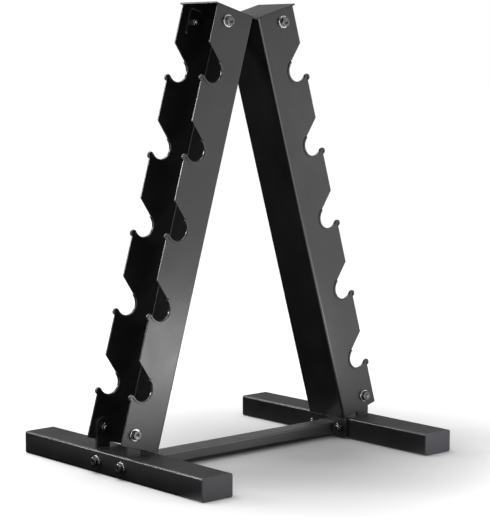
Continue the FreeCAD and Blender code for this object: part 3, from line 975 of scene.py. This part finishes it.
@dataclass
class Upright:
    """A channel bent from sheet, with notches down both flanges."""

    side: Side
    bend_steps: int = 8

    def flange_outline(self) -> np.ndarray:
        """The flange from the bend's top end, down its notched edge, to the bottom.

        Returns:
            Points (x, z), shaped (n, 2).
        """
        top = np.array([[LEAN.bend, LEAN.length], [LEAN.depth, LEAN.length]])
        notches = [NOTCH.edge(tier) for tier in range(1, NOTCH.tiers + 1)]
        bottom = np.array([[LEAN.depth, 0.0], [LEAN.bend, 0.0]])
        return np.concatenate([top, *notches, bottom])

    def web_profile(self, radius: float) -> np.ndarray:
        """The web and both bends in x and y: two quarter circles joined by a line.

        Args:
            radius: the bends' radius, outside or inside.

        Returns:
            Points (x, y), shaped (n, 2).
        """
        half = LEAN.width / 2 - LEAN.bend
        quarter = math.pi / 2
        low = arc((LEAN.bend, -half), radius, 3 * quarter, 2 * quarter, self.bend_steps)
        high = arc((LEAN.bend, half), radius, 2 * quarter, quarter, self.bend_steps)
        return np.concatenate([low, high])

    def build(self, finishes: Finishes) -> None:
        """Join the web's shell and the two flanges into one closed sheet.

        Args:
            finishes: the rack's materials.
        """
        place = LEAN.place(self.side)
        draft = Draft()
        outer = self.web_profile(LEAN.bend)
        inner = self.web_profile(LEAN.bend - LEAN.wall)
        rows = [(outer, 0.0), (outer, LEAN.length), (inner, LEAN.length), (inner, 0.0)]
        shell = np.stack([np.insert(profile, 2, z, axis=1) for profile, z in rows])
        draft.grid(carried(place, shell), wrap_rows=True)
        outline = self.flange_outline()
        for sign in (-1, 1):
            levels = (sign * LEAN.width / 2, sign * (LEAN.width / 2 - LEAN.wall))
            faces = carried(place, np.stack([np.insert(outline, 1, y, axis=1) for y in levels]))
            draft.grid(faces)
            draft.polygon(faces[0])
            draft.polygon(faces[1])
        piece = draft.build(f"{self.side.name.lower()}_channel")
        SHEET_EDGE.apply(piece)
        dress(piece, finishes.coat, Slot.COAT, f"{self.side.name.lower()}_upright")


@dataclass
class TopPlate:
    """The plate over both channels, bent to a shallow V between them."""

    thick: float = 3 * MM
    overhang: float = 6 * MM
    inner_radius: float = 4 * MM
    steps: int = 6

    def section(self) -> np.ndarray:
        """The V in X and Z.

        Each wing's tip lies on the leaning frame.  The valley is an arc about a point
        above it: the wings' upper faces are tangents at inner_radius, and their lower
        faces at inner_radius + thick.

        Returns:
            Points (X, Z), shaped (n, 2).
        """
        place = LEAN.place(Side.RIGHT)
        tip_x = LEAN.depth + self.overhang
        tips = carried(place, np.array([[tip_x, 0, LEAN.length],
                                       [tip_x, 0, LEAN.length + self.thick]]))[:, [0, 2]]
        valley = tips[1, 1] - tips[1, 0] * math.tan(LEAN.angle)
        centre = (0.0, valley + self.inner_radius / math.cos(LEAN.angle))
        down, half = -math.pi / 2, LEAN.angle
        below = arc(centre, self.inner_radius + self.thick, down - half, down + half, self.steps)
        above = arc(centre, self.inner_radius, down + half, down - half, self.steps)
        mirror = np.array([-1.0, 1.0])
        return np.concatenate([below, tips, above, (tips * mirror)[::-1]])

    def build(self, finishes: Finishes) -> None:
        """Extrude the section from the front flanges to the rear ones.

        Args:
            finishes: the rack's materials.
        """
        piece = plate(self.section(), -LEAN.width / 2, LEAN.width / 2).build("top_cover")
        SHEET_EDGE.apply(piece)
        dress(piece, finishes.coat, Slot.COAT, "top_plate")


# ------------------------------------------------------------------ brackets

@dataclass
class Bracket:
    """A drilled plate against the inside of a flange, centred on its bolt."""

    side: Side
    end: End
    bolt_x: float
    bolt_z: float
    width: float = 28 * MM
    hole: float = 5.25 * MM

    def world(self) -> np.ndarray:
        """The bolt's centre in the rack's axes."""
        return carried(LEAN.place(self.side), np.array([self.bolt_x, 0.0, self.bolt_z]))


@dataclass
class Tab(Bracket):
    """A tab with a round top that stands upright on a foot."""

    bolt_x: float = 60.5 * MM
    bolt_z: float = 22.5 * MM
    thick: float = 5 * MM
    crown: float = 4 * MM
    steps: int = 16

    def outline(self, drop: float) -> np.ndarray:
        """Straight sides from the foot, drop below the bolt, and a half-round top.

        Args:
            drop: the bolt's height above the foot.

        Returns:
            Points about the bolt, shaped (n, 2).
        """
        half = self.width / 2
        top = arc((0.0, self.crown), half, 0.0, math.pi, self.steps)
        base = np.column_stack([np.linspace(-half, half, self.steps // 2 + 1),
                                np.full(self.steps // 2 + 1, -drop)])
        return np.concatenate([top, base])

    def build(self, finishes: Finishes) -> None:
        """Stand the tab on its foot.

        Args:
            finishes: the rack's materials.
        """
        corner = corner_name(self.side, self.end)
        low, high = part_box(f"{corner}_tab")
        centre = self.world()
        draft = holed_plate(self.outline(centre[2] - low.z), self.hole, low.y, high.y)
        draft.carry(placement((centre[0], 0.0, centre[2]), (1, 0, 0), (0, 0, 1)))
        piece = draft.build(f"{corner}_tab_plate")
        PLATE_EDGE.apply(piece)
        dress(piece, finishes.coat, Slot.COAT, f"{corner}_tab")


@dataclass
class Ear(Bracket):
    """An ear under the top plate, with two rounded lower corners."""

    bolt_x: float = 55 * MM
    bolt_z: float = LEAN.length - 21 * MM
    thick: float = 3 * MM
    length: float = 47 * MM
    corner: float = 5 * MM
    steps: int = 6

    def outline(self) -> np.ndarray:
        """A rectangle from the top plate down, its lower corners quarter circles.

        Returns:
            Points about the bolt, shaped (n, 2).
        """
        half, rise = self.width / 2, LEAN.length - self.bolt_z
        low = rise - self.length + self.corner
        side = half - self.corner
        left = arc((-side, low), self.corner, math.pi, 1.5 * math.pi, self.steps)
        right = arc((side, low), self.corner, 1.5 * math.pi, 2 * math.pi, self.steps)
        top = np.column_stack([np.linspace(half, -half, self.steps + 1),
                               np.full(self.steps + 1, rise)])
        return np.concatenate([left, right, top])

    def build(self, finishes: Finishes) -> None:
        """Hang the ear inside its flange.

        Args:
            finishes: the rack's materials.
        """
        sign = local_sign(self.side, self.end)
        outer = sign * (LEAN.width / 2 - LEAN.wall)
        draft = holed_plate(self.outline(), self.hole, outer, outer - sign * self.thick)
        bolt = placement((self.bolt_x, 0.0, self.bolt_z), (1, 0, 0), (0, 0, 1))
        draft.carry(LEAN.place(self.side) @ bolt)
        corner = corner_name(self.side, self.end)
        piece = draft.build(f"{corner}_ear_plate")
        EAR_EDGE.apply(piece)
        dress(piece, finishes.coat, Slot.COAT, f"{corner}_ear")


@dataclass
class EndPlate:
    """The plate between a foot and the end of the crossbar."""

    side: Side
    corner: float = 5 * MM

    def build(self, finishes: Finishes) -> None:
        """Round the plate's corners and set it against the foot.

        Args:
            finishes: the rack's materials.
        """
        node = f"{self.side.name.lower()}_end_plate"
        low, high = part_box(node)
        outline = rounded_rectangle(high.y - low.y, high.z - low.z, self.corner)
        draft = plate(outline, low.x, high.x)
        middle = (low + high) / 2
        # The plate's thickness runs along X, so its X and Y change places.
        draft.points = [points[:, [1, 0, 2]] + (0.0, middle.y, middle.z)
                        for points in draft.points]
        piece = draft.build(f"{self.side.name.lower()}_foot_plate")
        PLATE_EDGE.apply(piece)
        dress(piece, finishes.coat, Slot.COAT, node)


# ------------------------------------------------------------------ feet

@dataclass
class FootCap:
    """A plastic cap pushed into the end of a foot, with a softly rounded rim."""

    side: Side
    end: End
    corner: float = 4 * MM
    plug_inset: float = 2.75 * MM
    plug_length: float = 16 * MM
    plug_taper: float = 0.6 * MM
    plug_lead: float = 2.4 * MM
    least_corner: float = 0.8 * MM
    rim_gap: float = 0.25 * MM
    rim: float = 1.1 * MM
    rim_steps: int = 5
    dish_inset: float = 4.5 * MM
    dish_slope: float = 1.5 * MM
    dish: float = 0.15 * MM

    def rings(self, thick: float) -> list[tuple[float, float]]:
        """Inset and height of each ring, from the plug's end to the outer face.

        Over the rim both follow a quarter circle: inset rim * (1 - cos a) and height
        thick - rim * (1 - sin a).

        Args:
            thick: the cap's thickness outside the tube.

        Returns:
            Pairs of inset and height.
        """
        angles = np.linspace(0.0, math.pi / 2, self.rim_steps + 1)
        insets = self.rim * (1 - np.cos(angles))
        heights = thick - self.rim * (1 - np.sin(angles))
        plug = [(self.plug_inset + self.plug_taper, -self.plug_length),
                (self.plug_inset, -self.plug_length + self.plug_lead),
                (self.plug_inset, 0.0), (self.rim_gap, 0.0), (0.0, self.rim_gap)]
        face = [(self.dish_inset, thick), (self.dish_inset + self.dish_slope, thick - self.dish)]
        return plug + list(zip(insets, heights)) + face

    def build(self, finishes: Finishes) -> None:
        """Loft the rings and turn the cap to its end of the foot.

        Args:
            finishes: the rack's materials.
        """
        node = f"{corner_name(self.side, self.end)}_foot_cap"
        low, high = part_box(node)
        width, height = high.x - low.x, high.z - low.z
        thick = high.y - low.y - self.plug_length
        base = (low.y + thick) if self.end is End.FRONT else (high.y - thick)
        middle = (low + high) / 2
        surface = []
        for inset, rise in self.rings(thick):
            ring = rounded_rectangle(width - 2 * inset, height - 2 * inset,
                                     max(self.corner - inset, self.least_corner))
            surface.append(np.insert(ring, 1, base + self.end.value * rise, axis=1))
        draft = Draft()
        draft.tube(np.stack(surface) + (middle.x, 0.0, middle.z))
        piece = draft.build(f"{corner_name(self.side, self.end)}_end_cap")
        steady_faces(piece)
        dress(piece, finishes.cap, Slot.CAP, node)


# ------------------------------------------------------------------ welds

@dataclass
class WeldBead:
    """A rippled fillet weld in the corner between two surfaces."""

    radius: float = 2.0 * MM
    ripple: float = 0.09
    pitch: float = 2.4 * MM
    around: int = 14
    per_ripple: int = 6
    fewest: int = 8
    reach: float = 0.995
    taper_power: int = 8

    def section(self, distance: np.ndarray, swell: np.ndarray) -> np.ndarray:
        """Circles whose radius follows the ripples.

        The radius at distance d and angle a is radius * swell *
        (1 + ripple * cos(2 pi (d / pitch - cos a / 4))).

        Args:
            distance: how far along the bead each ring is, shaped (n,).
            swell: each ring's share of the full radius, shaped (n,).

        Returns:
            The section's points at each ring, shaped (n, around, 2).
        """
        angles = np.linspace(0.0, 2 * math.pi, self.around, endpoint=False)
        phase = distance[:, None] / self.pitch - np.cos(angles) / 4
        radius = self.radius * swell[:, None] * (1 + self.ripple * np.cos(2 * math.pi * phase))
        return radius[..., None] * np.column_stack([np.cos(angles), np.sin(angles)])

    def line(self, draft: Draft, start: np.ndarray, stop: np.ndarray,
             across: np.ndarray) -> None:
        """Add a straight bead whose two ends taper as the root of 1 - t^8.

        Args:
            draft: the mesh that it joins.
            start: its first end.
            stop: its other end.
            across: the unit direction of u, square to the bead.
        """
        span = float(np.linalg.norm(stop - start))
        count = max(int(span / self.pitch * self.per_ripple), self.fewest)
        t = np.linspace(-self.reach, self.reach, count)
        path = (start + stop) / 2 + (stop - start) / 2 * t[:, None]
        side = np.cross((stop - start) / span, across)
        section = self.section((t + 1) / 2 * span, np.sqrt(1 - t ** self.taper_power))
        draft.tube(sweep(path, across, side, section))

    def loop(self, draft: Draft, ring: np.ndarray, axis: np.ndarray) -> None:
        """Add a bead round a closed ring of points, bulging out and along the axis.

        Args:
            draft: the mesh that it joins.
            ring: points, shaped (n, 3).
            axis: the unit direction that is square to the ring.
        """
        ahead, behind = np.roll(ring, -1, axis=0), np.roll(ring, 1, axis=0)
        along = (ahead - behind) / np.linalg.norm(ahead - behind, axis=1, keepdims=True)
        steps = np.linalg.norm(ring - behind, axis=1)
        section = self.section(np.cumsum(steps), np.ones(len(ring)))
        draft.grid(sweep(ring, np.cross(along, axis), axis, section), wrap_rows=True,
                   wrap_columns=True)


@dataclass
class Welds:
    """The beads under the tabs, under the top plate and round the crossbar's ends."""

    bead: WeldBead = field(default_factory=WeldBead)
    margin: float = 1.5 * MM
    bar_corner: float = 3 * MM
    ring_points: int = 220

    def tabs(self, side: Side) -> Draft:
        """A bead along both faces of both tabs of a side, on the foot's top.

        Args:
            side: the rack's side.

        Returns:
            The beads.
        """
        draft = Draft()
        for end in End:
            low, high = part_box(f"{corner_name(side, end)}_tab")
            for y in (low.y, high.y):
                start = np.array([low.x + self.margin, y, low.z])
                stop = np.array([high.x - self.margin, y, low.z])
                self.bead.line(draft, start, stop, np.array([0.0, 0.0, 1.0]))
        return draft

    def ears(self, side: Side) -> Draft:
        """A bead along the inner face of both ears of a side, under the top plate.

        Args:
            side: the rack's side.

        Returns:
            The beads.
        """
        draft = Draft()
        place = LEAN.place(side)
        for end in End:
            ear = Ear(side, end)
            y = local_sign(side, end) * (LEAN.width / 2 - LEAN.wall - ear.thick)
            half = ear.width / 2 - self.margin
            ends = carried(place, np.array([[ear.bolt_x - half, y, LEAN.length],
                                           [ear.bolt_x + half, y, LEAN.length]]))
            self.bead.line(draft, ends[0], ends[1], place[:3, 2])
        return draft

    def crossbar(self, side: Side) -> Draft:
        """A bead round the end of the crossbar, against its end plate.

        Args:
            side: the rack's side.

        Returns:
            The bead.
        """
        low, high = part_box("crossbar")
        x = high.x if side is Side.RIGHT else low.x
        ring = rounded_rectangle(high.y - low.y, high.z - low.z, self.bar_corner)
        ring = spaced(ring, self.ring_points)
        middle = (low + high) / 2
        path = np.column_stack([np.full(len(ring), x), ring[:, 0] + middle.y,
                                ring[:, 1] + middle.z])
        draft = Draft()
        self.bead.loop(draft, path, np.array([1.0, 0.0, 0.0]))
        return draft

    def build(self, finishes: Finishes) -> None:
        """Lay every bead; the welds of one place and side are one piece.

        Args:
            finishes: the rack's materials.
        """
        for side in Side:
            for place, draft in (("tab", self.tabs(side)), ("ear", self.ears(side)),
                                 ("crossbar", self.crossbar(side))):
                piece = draft.build(f"{side.name.lower()}_{place}_welds")
                dress(piece, finishes.weld, Slot.COAT)


def spaced(ring: np.ndarray, count: int) -> np.ndarray:
    """Spread points evenly along a closed outline by their distance along it.

    Args:
        ring: points, shaped (n, 2).
        count: the number of points wanted.

    Returns:
        Points, shaped (count, 2).
    """
    closed = np.vstack([ring, ring[:1]])
    steps = np.linalg.norm(np.diff(closed, axis=0), axis=1)
    travelled = np.concatenate([[0.0], np.cumsum(steps)])
    wanted = np.linspace(0.0, travelled[-1], count, endpoint=False)
    return np.column_stack([np.interp(wanted, travelled, closed[:, k]) for k in (0, 1)])


# ------------------------------------------------------------------ fasteners

@dataclass(frozen=True)
class Station:
    """Where one bolt sits: z outwards along it from the outer face, and its grip."""

    place: np.ndarray
    grip: float


@dataclass
class Fasteners:
    """A set of four hexagon bolts with their washers and nuts."""

    name: str
    stations: list[Station]
    shank: float = 5 * MM
    bore: float = 5.05 * MM
    hole: float = 5.25 * MM
    apothem: float = 8 * MM
    corner: float = 9.1 * MM
    flat_top: float = 7.5 * MM
    chamfer: float = math.tan(math.radians(30))
    head: float = 6.4 * MM
    washer_face: float = 0.5 * MM
    dish_radius: float = 4.4 * MM
    dish_start: float = 0.12
    dish_steps: int = 7
    dish_depth: float = 0.9 * MM
    nut: float = 8 * MM
    sink: float = 0.5 * MM
    tail: float = 2.5 * MM
    washer: float = 11 * MM
    washer_thick: float = 2 * MM
    washer_round: float = 0.7 * MM
    washer_bulge: float = 0.3
    thread_pitch: float = 1.5 * MM
    thread_depth: float = 0.45 * MM
    thread_length: float = 4.5 * MM
    thread_lead: float = 0.2 * MM
    thread_runout: float = 0.6 * MM
    thread_rows: int = 26
    around: int = 72

    def angles(self) -> np.ndarray:
        """Angles round a fastener."""
        return np.linspace(0.0, 2 * math.pi, self.around, endpoint=False)

    def hexagon(self) -> np.ndarray:
        """The hexagon's radius at each angle.

        On a flat it is apothem / cos(a mod 60 - 30), held at the corner's radius.

        Returns:
            Radii, shaped (around,).
        """
        sixth = math.pi / 3
        flat = self.apothem / np.cos(np.mod(self.angles(), sixth) - sixth / 2)
        return np.minimum(flat, self.corner)

    def lathe(self, rows: list[tuple[object, object]]) -> np.ndarray:
        """Turn rows of radius and height about z.

        Args:
            rows: a radius and a height each, as numbers or as arrays over the angles.

        Returns:
            The surface, shaped (rows, around, 3).
        """
        angles = self.angles()
        radius = np.stack([np.broadcast_to(row[0], angles.shape) for row in rows])
        height = np.stack([np.broadcast_to(row[1], angles.shape) for row in rows])
        return np.stack([radius * np.cos(angles), radius * np.sin(angles), height], axis=-1)

    def bevelled(self, face: float, sign: int) -> tuple[np.ndarray, np.ndarray]:
        """The hexagon's rim below a chamfer cut at thirty degrees from flat_top."""
        hexagon = self.hexagon()
        return hexagon, face - sign * np.maximum(hexagon - self.flat_top, 0) * self.chamfer

    def bolt(self, grip: float) -> np.ndarray:
        """A dished head, a washer face, a shank and a thread.

        The dish is a smooth step: with t = radius / dish_radius its depth is
        dish_depth * (1 - t^2 (3 - 2 t)).  The thread's radius at the angle a and
        height z is shank - depth * (1 - cos(2 pi z / pitch - a)) / 2.

        Args:
            grip: the thickness that the bolt holds together.

        Returns:
            The surface, shaped (rows, around, 3).
        """
        face = self.washer_thick + self.head
        t = np.linspace(self.dish_start, 1.0, self.dish_steps)
        dish = [(self.dish_radius * k, face - self.dish_depth * (1 - k * k * (3 - 2 * k)))
                for k in t]
        end = -(grip + self.nut + self.tail)
        start = end + self.thread_length
        z = np.linspace(start - self.thread_lead, end + self.thread_runout,
                        self.thread_rows)[:, None]
        wave = (1 - np.cos(2 * math.pi * z / self.thread_pitch - self.angles())) / 2
        thread = list(zip(self.shank - self.thread_depth * wave, z))
        under = self.washer_thick + self.washer_face
        rest = [(self.flat_top, face), self.bevelled(face, 1),
                (self.hexagon(), under), (self.flat_top, under),
                (self.flat_top, self.washer_thick), (self.shank, self.washer_thick),
                (self.shank, start)]
        point = [(self.shank - 2 * self.thread_depth, end), (self.shank / 2, end)]
        return self.lathe(dish + rest + thread + point)

    def ring(self) -> np.ndarray:
        """A washer: a flat ring whose four edges are rounded.

        Returns:
            The surface, shaped (rows, around, 3).
        """
        thick, small = self.washer_thick, self.washer_round
        half, bulge = small / 2, self.washer_bulge * small
        rows = [(self.hole, half), (self.hole + half, 0.0), (self.washer - small, 0.0),
                (self.washer - bulge, bulge), (self.washer, small),
                (self.washer, thick - small), (self.washer - bulge, thick - bulge),
                (self.washer - small, thick), (self.hole + half, thick),
                (self.hole, thick - half)]
        return self.lathe(rows)

    def hex_nut(self, grip: float) -> np.ndarray:
        """A nut chamfered at both ends, its bore countersunk.

        Args:
            grip: the thickness that the bolt holds together.

        Returns:
            The surface, shaped (rows, around, 3).
        """
        low, high = -(grip + self.nut), -grip
        sink = self.sink
        rows = [(self.bore, low + sink), (self.bore + sink, low), (self.flat_top, low),
                self.bevelled(low, -1), self.bevelled(high, 1), (self.flat_top, high),
                (self.bore + sink, high), (self.bore, high - sink)]
        return self.lathe(rows)

    def build(self, finishes: Finishes) -> None:
        """Make the bolts, the washers and the nuts, each as one piece.

        Args:
            finishes: the rack's materials.
        """
        bolts, washers, nuts = Draft(), Draft(), Draft()
        for station in self.stations:
            bolts.tube(carried(station.place, self.bolt(station.grip)))
            washers.grid(carried(station.place, self.ring()), wrap_rows=True, wrap_columns=True)
            nuts.grid(carried(station.place, self.hex_nut(station.grip)), wrap_rows=True,
                      wrap_columns=True)
        for kind, draft, finish in (("bolt", bolts, finishes.steel),
                                    ("washer", washers, finishes.washer),
                                    ("nut", nuts, finishes.steel)):
            piece = draft.build(f"{self.name}_{kind}_set")
            FASTENER_EDGE.apply(piece)
            dress(piece, finish, Slot.STEEL, f"{self.name}_{kind}s")


FOOT_BOLT_Y = 35 * MM


def flange_stations(bracket: type[Bracket]) -> list[Station]:
    """The four bolts that go through the flanges and one kind of bracket.

    Args:
        bracket: the kind.

    Returns:
        The stations, side by side and front to rear.
    """
    stations = []
    for side in Side:
        for end in End:
            piece = bracket(side, end)
            sign = local_sign(side, end)
            origin = (piece.bolt_x, sign * LEAN.width / 2, piece.bolt_z)
            local = placement(origin, (1, 0, 0), (0, sign, 0))
            stations.append(Station(LEAN.place(side) @ local, LEAN.wall + piece.thick))
    return stations


def foot_stations() -> list[Station]:
    """The four bolts that go through the feet and the crossbar's end plates.

    Returns:
        The stations, side by side and front to rear.
    """
    stations = []
    for side in Side:
        foot_low, foot_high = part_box(f"{side.name.lower()}_foot")
        plate_low, plate_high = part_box(f"{side.name.lower()}_end_plate")
        outer = foot_high.x if side is Side.RIGHT else foot_low.x
        grip = (foot_high.x - foot_low.x) + (plate_high.x - plate_low.x)
        for end in End:
            origin = (outer, end.value * FOOT_BOLT_Y, (foot_low.z + foot_high.z) / 2)
            stations.append(Station(placement(origin, (0, 0, 1), (side.value, 0, 0)), grip))
    return stations


# ------------------------------------------------------------------ the studio

@dataclass
class Softbox:
    """A rectangular lamp that faces the rack, with its angles in degrees."""

    name: str
    azimuth: float
    elevation: float
    distance: float
    width: float
    height: float
    radiance: float

    def build(self, target: Vector) -> None:
        """Hang the lamp on its direction from the target.

        Its power is radiance * pi * area.

        Args:
            target: the point that it faces.
        """
        lamp = bpy.data.lights.new(self.name, "AREA")
        lamp.shape = "RECTANGLE"
        lamp.size, lamp.size_y = self.width, self.height
        lamp.energy = self.radiance * math.pi * self.width * self.height
        holder = bpy.data.objects.new(self.name, lamp)
        bpy.context.scene.collection.objects.link(holder)
        back = direction(self.azimuth, self.elevation)
        holder.location = target + back * self.distance
        holder.rotation_euler = (-back).to_track_quat("-Z", "Y").to_euler()


def direction(azimuth: float, elevation: float) -> Vector:
    """The unit vector to a place round the rack: 0 is the front and 90 the right."""
    a, e = math.radians(azimuth), math.radians(elevation)
    return Vector((math.sin(a) * math.cos(e), -math.cos(a) * math.cos(e), math.sin(e)))


@dataclass
class Studio:
    """A pale floor, soft lamps, a pale room and the camera.

    The camera's and the sun's azimuth and elevation are in degrees.  Each Ramp of the
    floor maps a distance, X or Y on it to a share or to the strength of a glow: these
    make the floor's painted shadow and its painted reflection strips.
    """

    azimuth: float = -41.33
    elevation: float = 6.38
    distance: float = 3.24
    lens: float = 124.3
    aim_right: float = 16.6 * MM
    aim_height: float = 350 * MM
    floor_size: float = 60.0
    floor_gap: float = 0.2 * MM
    # Painted shadow: the floor's grey at its darkest, under the rack.
    floor_painted_shadow: float = 0.20
    floor_mottle: float = 0.02
    floor_noise_scale: float = 3.0
    floor_noise_detail: float = 3.0
    floor_roughness: float = 0.6
    floor_far: float = 0.57
    painted_shadow_centre: tuple[float, float, float] = (0.10, -0.10, 0.0)
    shade: Ramp = Ramp(0.05, 0.60)
    floor_bounce: float = 0.10
    # Painted reflection strips: where, and how brightly, the floor glows for glossy rays.
    ahead_share: Ramp = Ramp(-0.38, -0.18, 1.0, 0.0)
    ahead_glow: Ramp = Ramp(-0.5, 0.5, 3.4, 1.6)
    left_share: Ramp = Ramp(0.30, 0.55, 1.0, 0.0)
    left_glow: Ramp = Ramp(-0.42, -0.34, 0.5, 0.0)
    rear_glow: Ramp = Ramp(1.20, 2.60, 0.02, 0.06)
    right_glow: Ramp = Ramp(0.15, 0.60, 0.02, 1.0)
    sky_seen: float = 1.0
    horizon_light: float = 0.12
    dome_light: float = 1.3
    sun_power: float = 3.1
    sun_spread: float = math.radians(48)
    sun_azimuth: float = -165
    sun_elevation: float = 74
    dome_start: float = 0.35
    dome_full: float = 0.8
    lamps: tuple[Softbox, ...] = (
        Softbox("left_rear_strip", -141, 20, 3.0, 0.40, 0.7, 36.0),
        Softbox("above_camera", -50, 16, 3.6, 0.4, 0.4, 45.0),
        Softbox("front_right", 45, 7, 3.6, 1.8, 1.4, 1.1),
        Softbox("front_low", 24.5, -21.6, 0.733, 0.5, 0.14, 8.0),
        Softbox("rear_top", -175, 40, 3.2, 0.8, 0.5, 10.0),
    )

    def floor(self) -> None:
        """A wide, pale and slightly uneven floor.

        Seen by the camera it is darker towards a point under the rack: a painted shadow.
        It sends little diffuse light back to the rack, and reflections see painted bright
        strips ahead of the rack, to its left and to its right, and darkness behind it: the
        floor glows in reflections though it is no lamp.
        """
        draft = Draft()
        half = self.floor_size / 2
        corners = np.array([[-half, -half], [half, -half], [half, half], [-half, half]])
        draft.polygon(np.insert(corners, 2, -self.floor_gap, axis=1))
        floor = draft.build("floor")
        material = bpy.data.materials.new("pale_floor")
        material.use_nodes = True
        material.node_tree.nodes.clear()
        wiring = Wiring(material.node_tree)
        position = wiring.add("TexCoord").outputs["Object"]
        where = wiring.add("SeparateXYZ", {0: position}).outputs
        path = wiring.add("LightPath").outputs
        # Painted shadow: the camera sees the floor darker near a point under the rack.
        away = wiring.add("VectorMath", {0: position, 1: self.painted_shadow_centre},
                          operation="DISTANCE").outputs["Value"]
        noise = wiring.noise(position, self.floor_noise_scale, self.floor_noise_detail)
        near = wiring.blend(noise, grey(self.floor_painted_shadow),
                            grey(self.floor_painted_shadow + self.floor_mottle))
        pale = wiring.blend(wiring.ramp(away, self.shade), near, grey(self.floor_far))
        colour = wiring.blend(path["Is Camera Ray"], grey(self.floor_bounce), pale)
        # Painted reflections: glossy rays see the floor black, with glowing strips ahead, left,
        # right and faintly behind, though the floor is no lamp.
        ahead = wiring.math("MULTIPLY", wiring.ramp(where["Y"], self.ahead_share),
                            wiring.ramp(where["X"], self.ahead_glow))
        left = wiring.math("MULTIPLY", wiring.ramp(where["Y"], self.left_share),
                           wiring.ramp(where["X"], self.left_glow))
        rear = wiring.math("MAXIMUM", wiring.ramp(where["Y"], self.rear_glow),
                           wiring.ramp(where["X"], self.right_glow))
        painted_reflection_strips = wiring.math("MAXIMUM", ahead, wiring.math("MAXIMUM", left, rear))
        glow = wiring.math("MULTIPLY", painted_reflection_strips, path["Is Glossy Ray"])
        shaded = wiring.blend(path["Is Glossy Ray"], colour, BLACK)
        shader = wiring.add("BsdfPrincipled", {
            "Base Color": shaded, "Roughness": self.floor_roughness,
            "Specular IOR Level": 0.0, "Emission Color": WHITE, "Emission Strength": glow})
        wiring.add("OutputMaterial", {"Surface": shader.outputs[0]})
        floor.data.materials.append(material)
        if floor.data.polygons[0].normal.z < 0:
            floor.data.flip_normals()

    def sun(self) -> None:
        """A broad light from behind and above, whose soft shadows fall to the front."""
        lamp = bpy.data.lights.new("overhead", "SUN")
        lamp.energy = self.sun_power
        lamp.angle = self.sun_spread
        holder = bpy.data.objects.new("overhead", lamp)
        bpy.context.scene.collection.objects.link(holder)
        back = direction(self.sun_azimuth, self.sun_elevation)
        holder.rotation_euler = (-back).to_track_quat("-Z", "Y").to_euler()

    def room(self) -> None:
        """A white background that lights the rack as a dome, dim near the horizon."""
        world = bpy.data.worlds.new("room")
        world.use_nodes = True
        bpy.context.scene.world = world
        tree = world.node_tree
        tree.nodes.clear()
        wiring = Wiring(tree)
        way = wiring.add("TexCoord").outputs["Generated"]
        rise = wiring.add("SeparateXYZ", {0: way}).outputs["Z"]
        dome = wiring.spread(rise, self.dome_start, self.dome_full, self.horizon_light,
                             self.dome_light)
        seen = wiring.add("LightPath").outputs["Is Camera Ray"]
        strength = wiring.spread(seen, 0.0, 1.0, dome, self.sky_seen)
        sky = wiring.add("Background", {"Color": WHITE, "Strength": strength})
        wiring.add("OutputWorld", {"Surface": sky.outputs[0]})

    def camera(self, target: Vector) -> None:
        """Aim a long lens at the rack from its front left.

        Args:
            target: the point that it looks at.
        """
        lens = bpy.data.cameras.new("camera")
        lens.lens = self.lens
        camera = bpy.data.objects.new("camera", lens)
        bpy.context.scene.collection.objects.link(camera)
        back = direction(self.azimuth, self.elevation)
        camera.location = target + back * self.distance
        camera.rotation_euler = (-back).to_track_quat("-Z", "Y").to_euler()
        bpy.context.scene.camera = camera

    def build(self) -> None:
        """Set the studio up."""
        bpy.context.scene.view_settings.view_transform = "Standard"
        target = Vector((self.aim_right, 0.0, self.aim_height))
        self.camera(target)
        self.room()
        self.floor()
        self.sun()
        for lamp in self.lamps:
            lamp.build(target)
        LOG.info("studio: %d lamps", len(self.lamps) + 1)


# ------------------------------------------------------------------ the rack

class Part(Protocol):
    """A sub-assembly that makes and dresses its own pieces."""

    def build(self, finishes: Finishes) -> None:
        """Make the pieces."""


@dataclass
class Rack:
    """The whole rack."""

    finishes: Finishes = field(default_factory=Finishes)

    def carried_over(self) -> None:
        """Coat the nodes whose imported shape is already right."""
        finishes = self.finishes
        for name, finish in (("left_foot", finishes.coat), ("right_foot", finishes.coat),
                             ("crossbar", finishes.crossbar)):
            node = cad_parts[name]
            node.data.materials.clear()
            node.data.materials.append(finish)
            LOG.info("node %s", name)

    def assemblies(self) -> list[Part]:
        """Every sub-assembly, from the floor up.

        Returns:
            The sub-assemblies.
        """
        parts: list[Part] = []
        for side in Side:
            parts += [EndPlate(side), Upright(side)]
            for end in End:
                parts += [FootCap(side, end), Tab(side, end), Ear(side, end)]
                parts += [NotchTrim(side, end, tier) for tier in range(1, NOTCH.tiers + 1)]
        parts += [TopPlate(), Welds(), Fasteners("low", flange_stations(Tab)),
                  Fasteners("top", flange_stations(Ear)), Fasteners("crossbar", foot_stations())]
        return parts

    def build(self) -> None:
        """Coat the frame and build every sub-assembly."""
        self.carried_over()
        for part in self.assemblies():
            part.build(self.finishes)


def corners(box: tuple[Vector, Vector]) -> list[list[float]]:
    """A box's two corners as plain lists."""
    return [list(corner) for corner in box]


def main() -> None:
    """Build the rack and its studio."""
    logging.basicConfig(level=logging.INFO, format="%(message)s")
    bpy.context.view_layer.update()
    Rack().build()
    Studio().build()


if __name__ == "__main__":
    main()
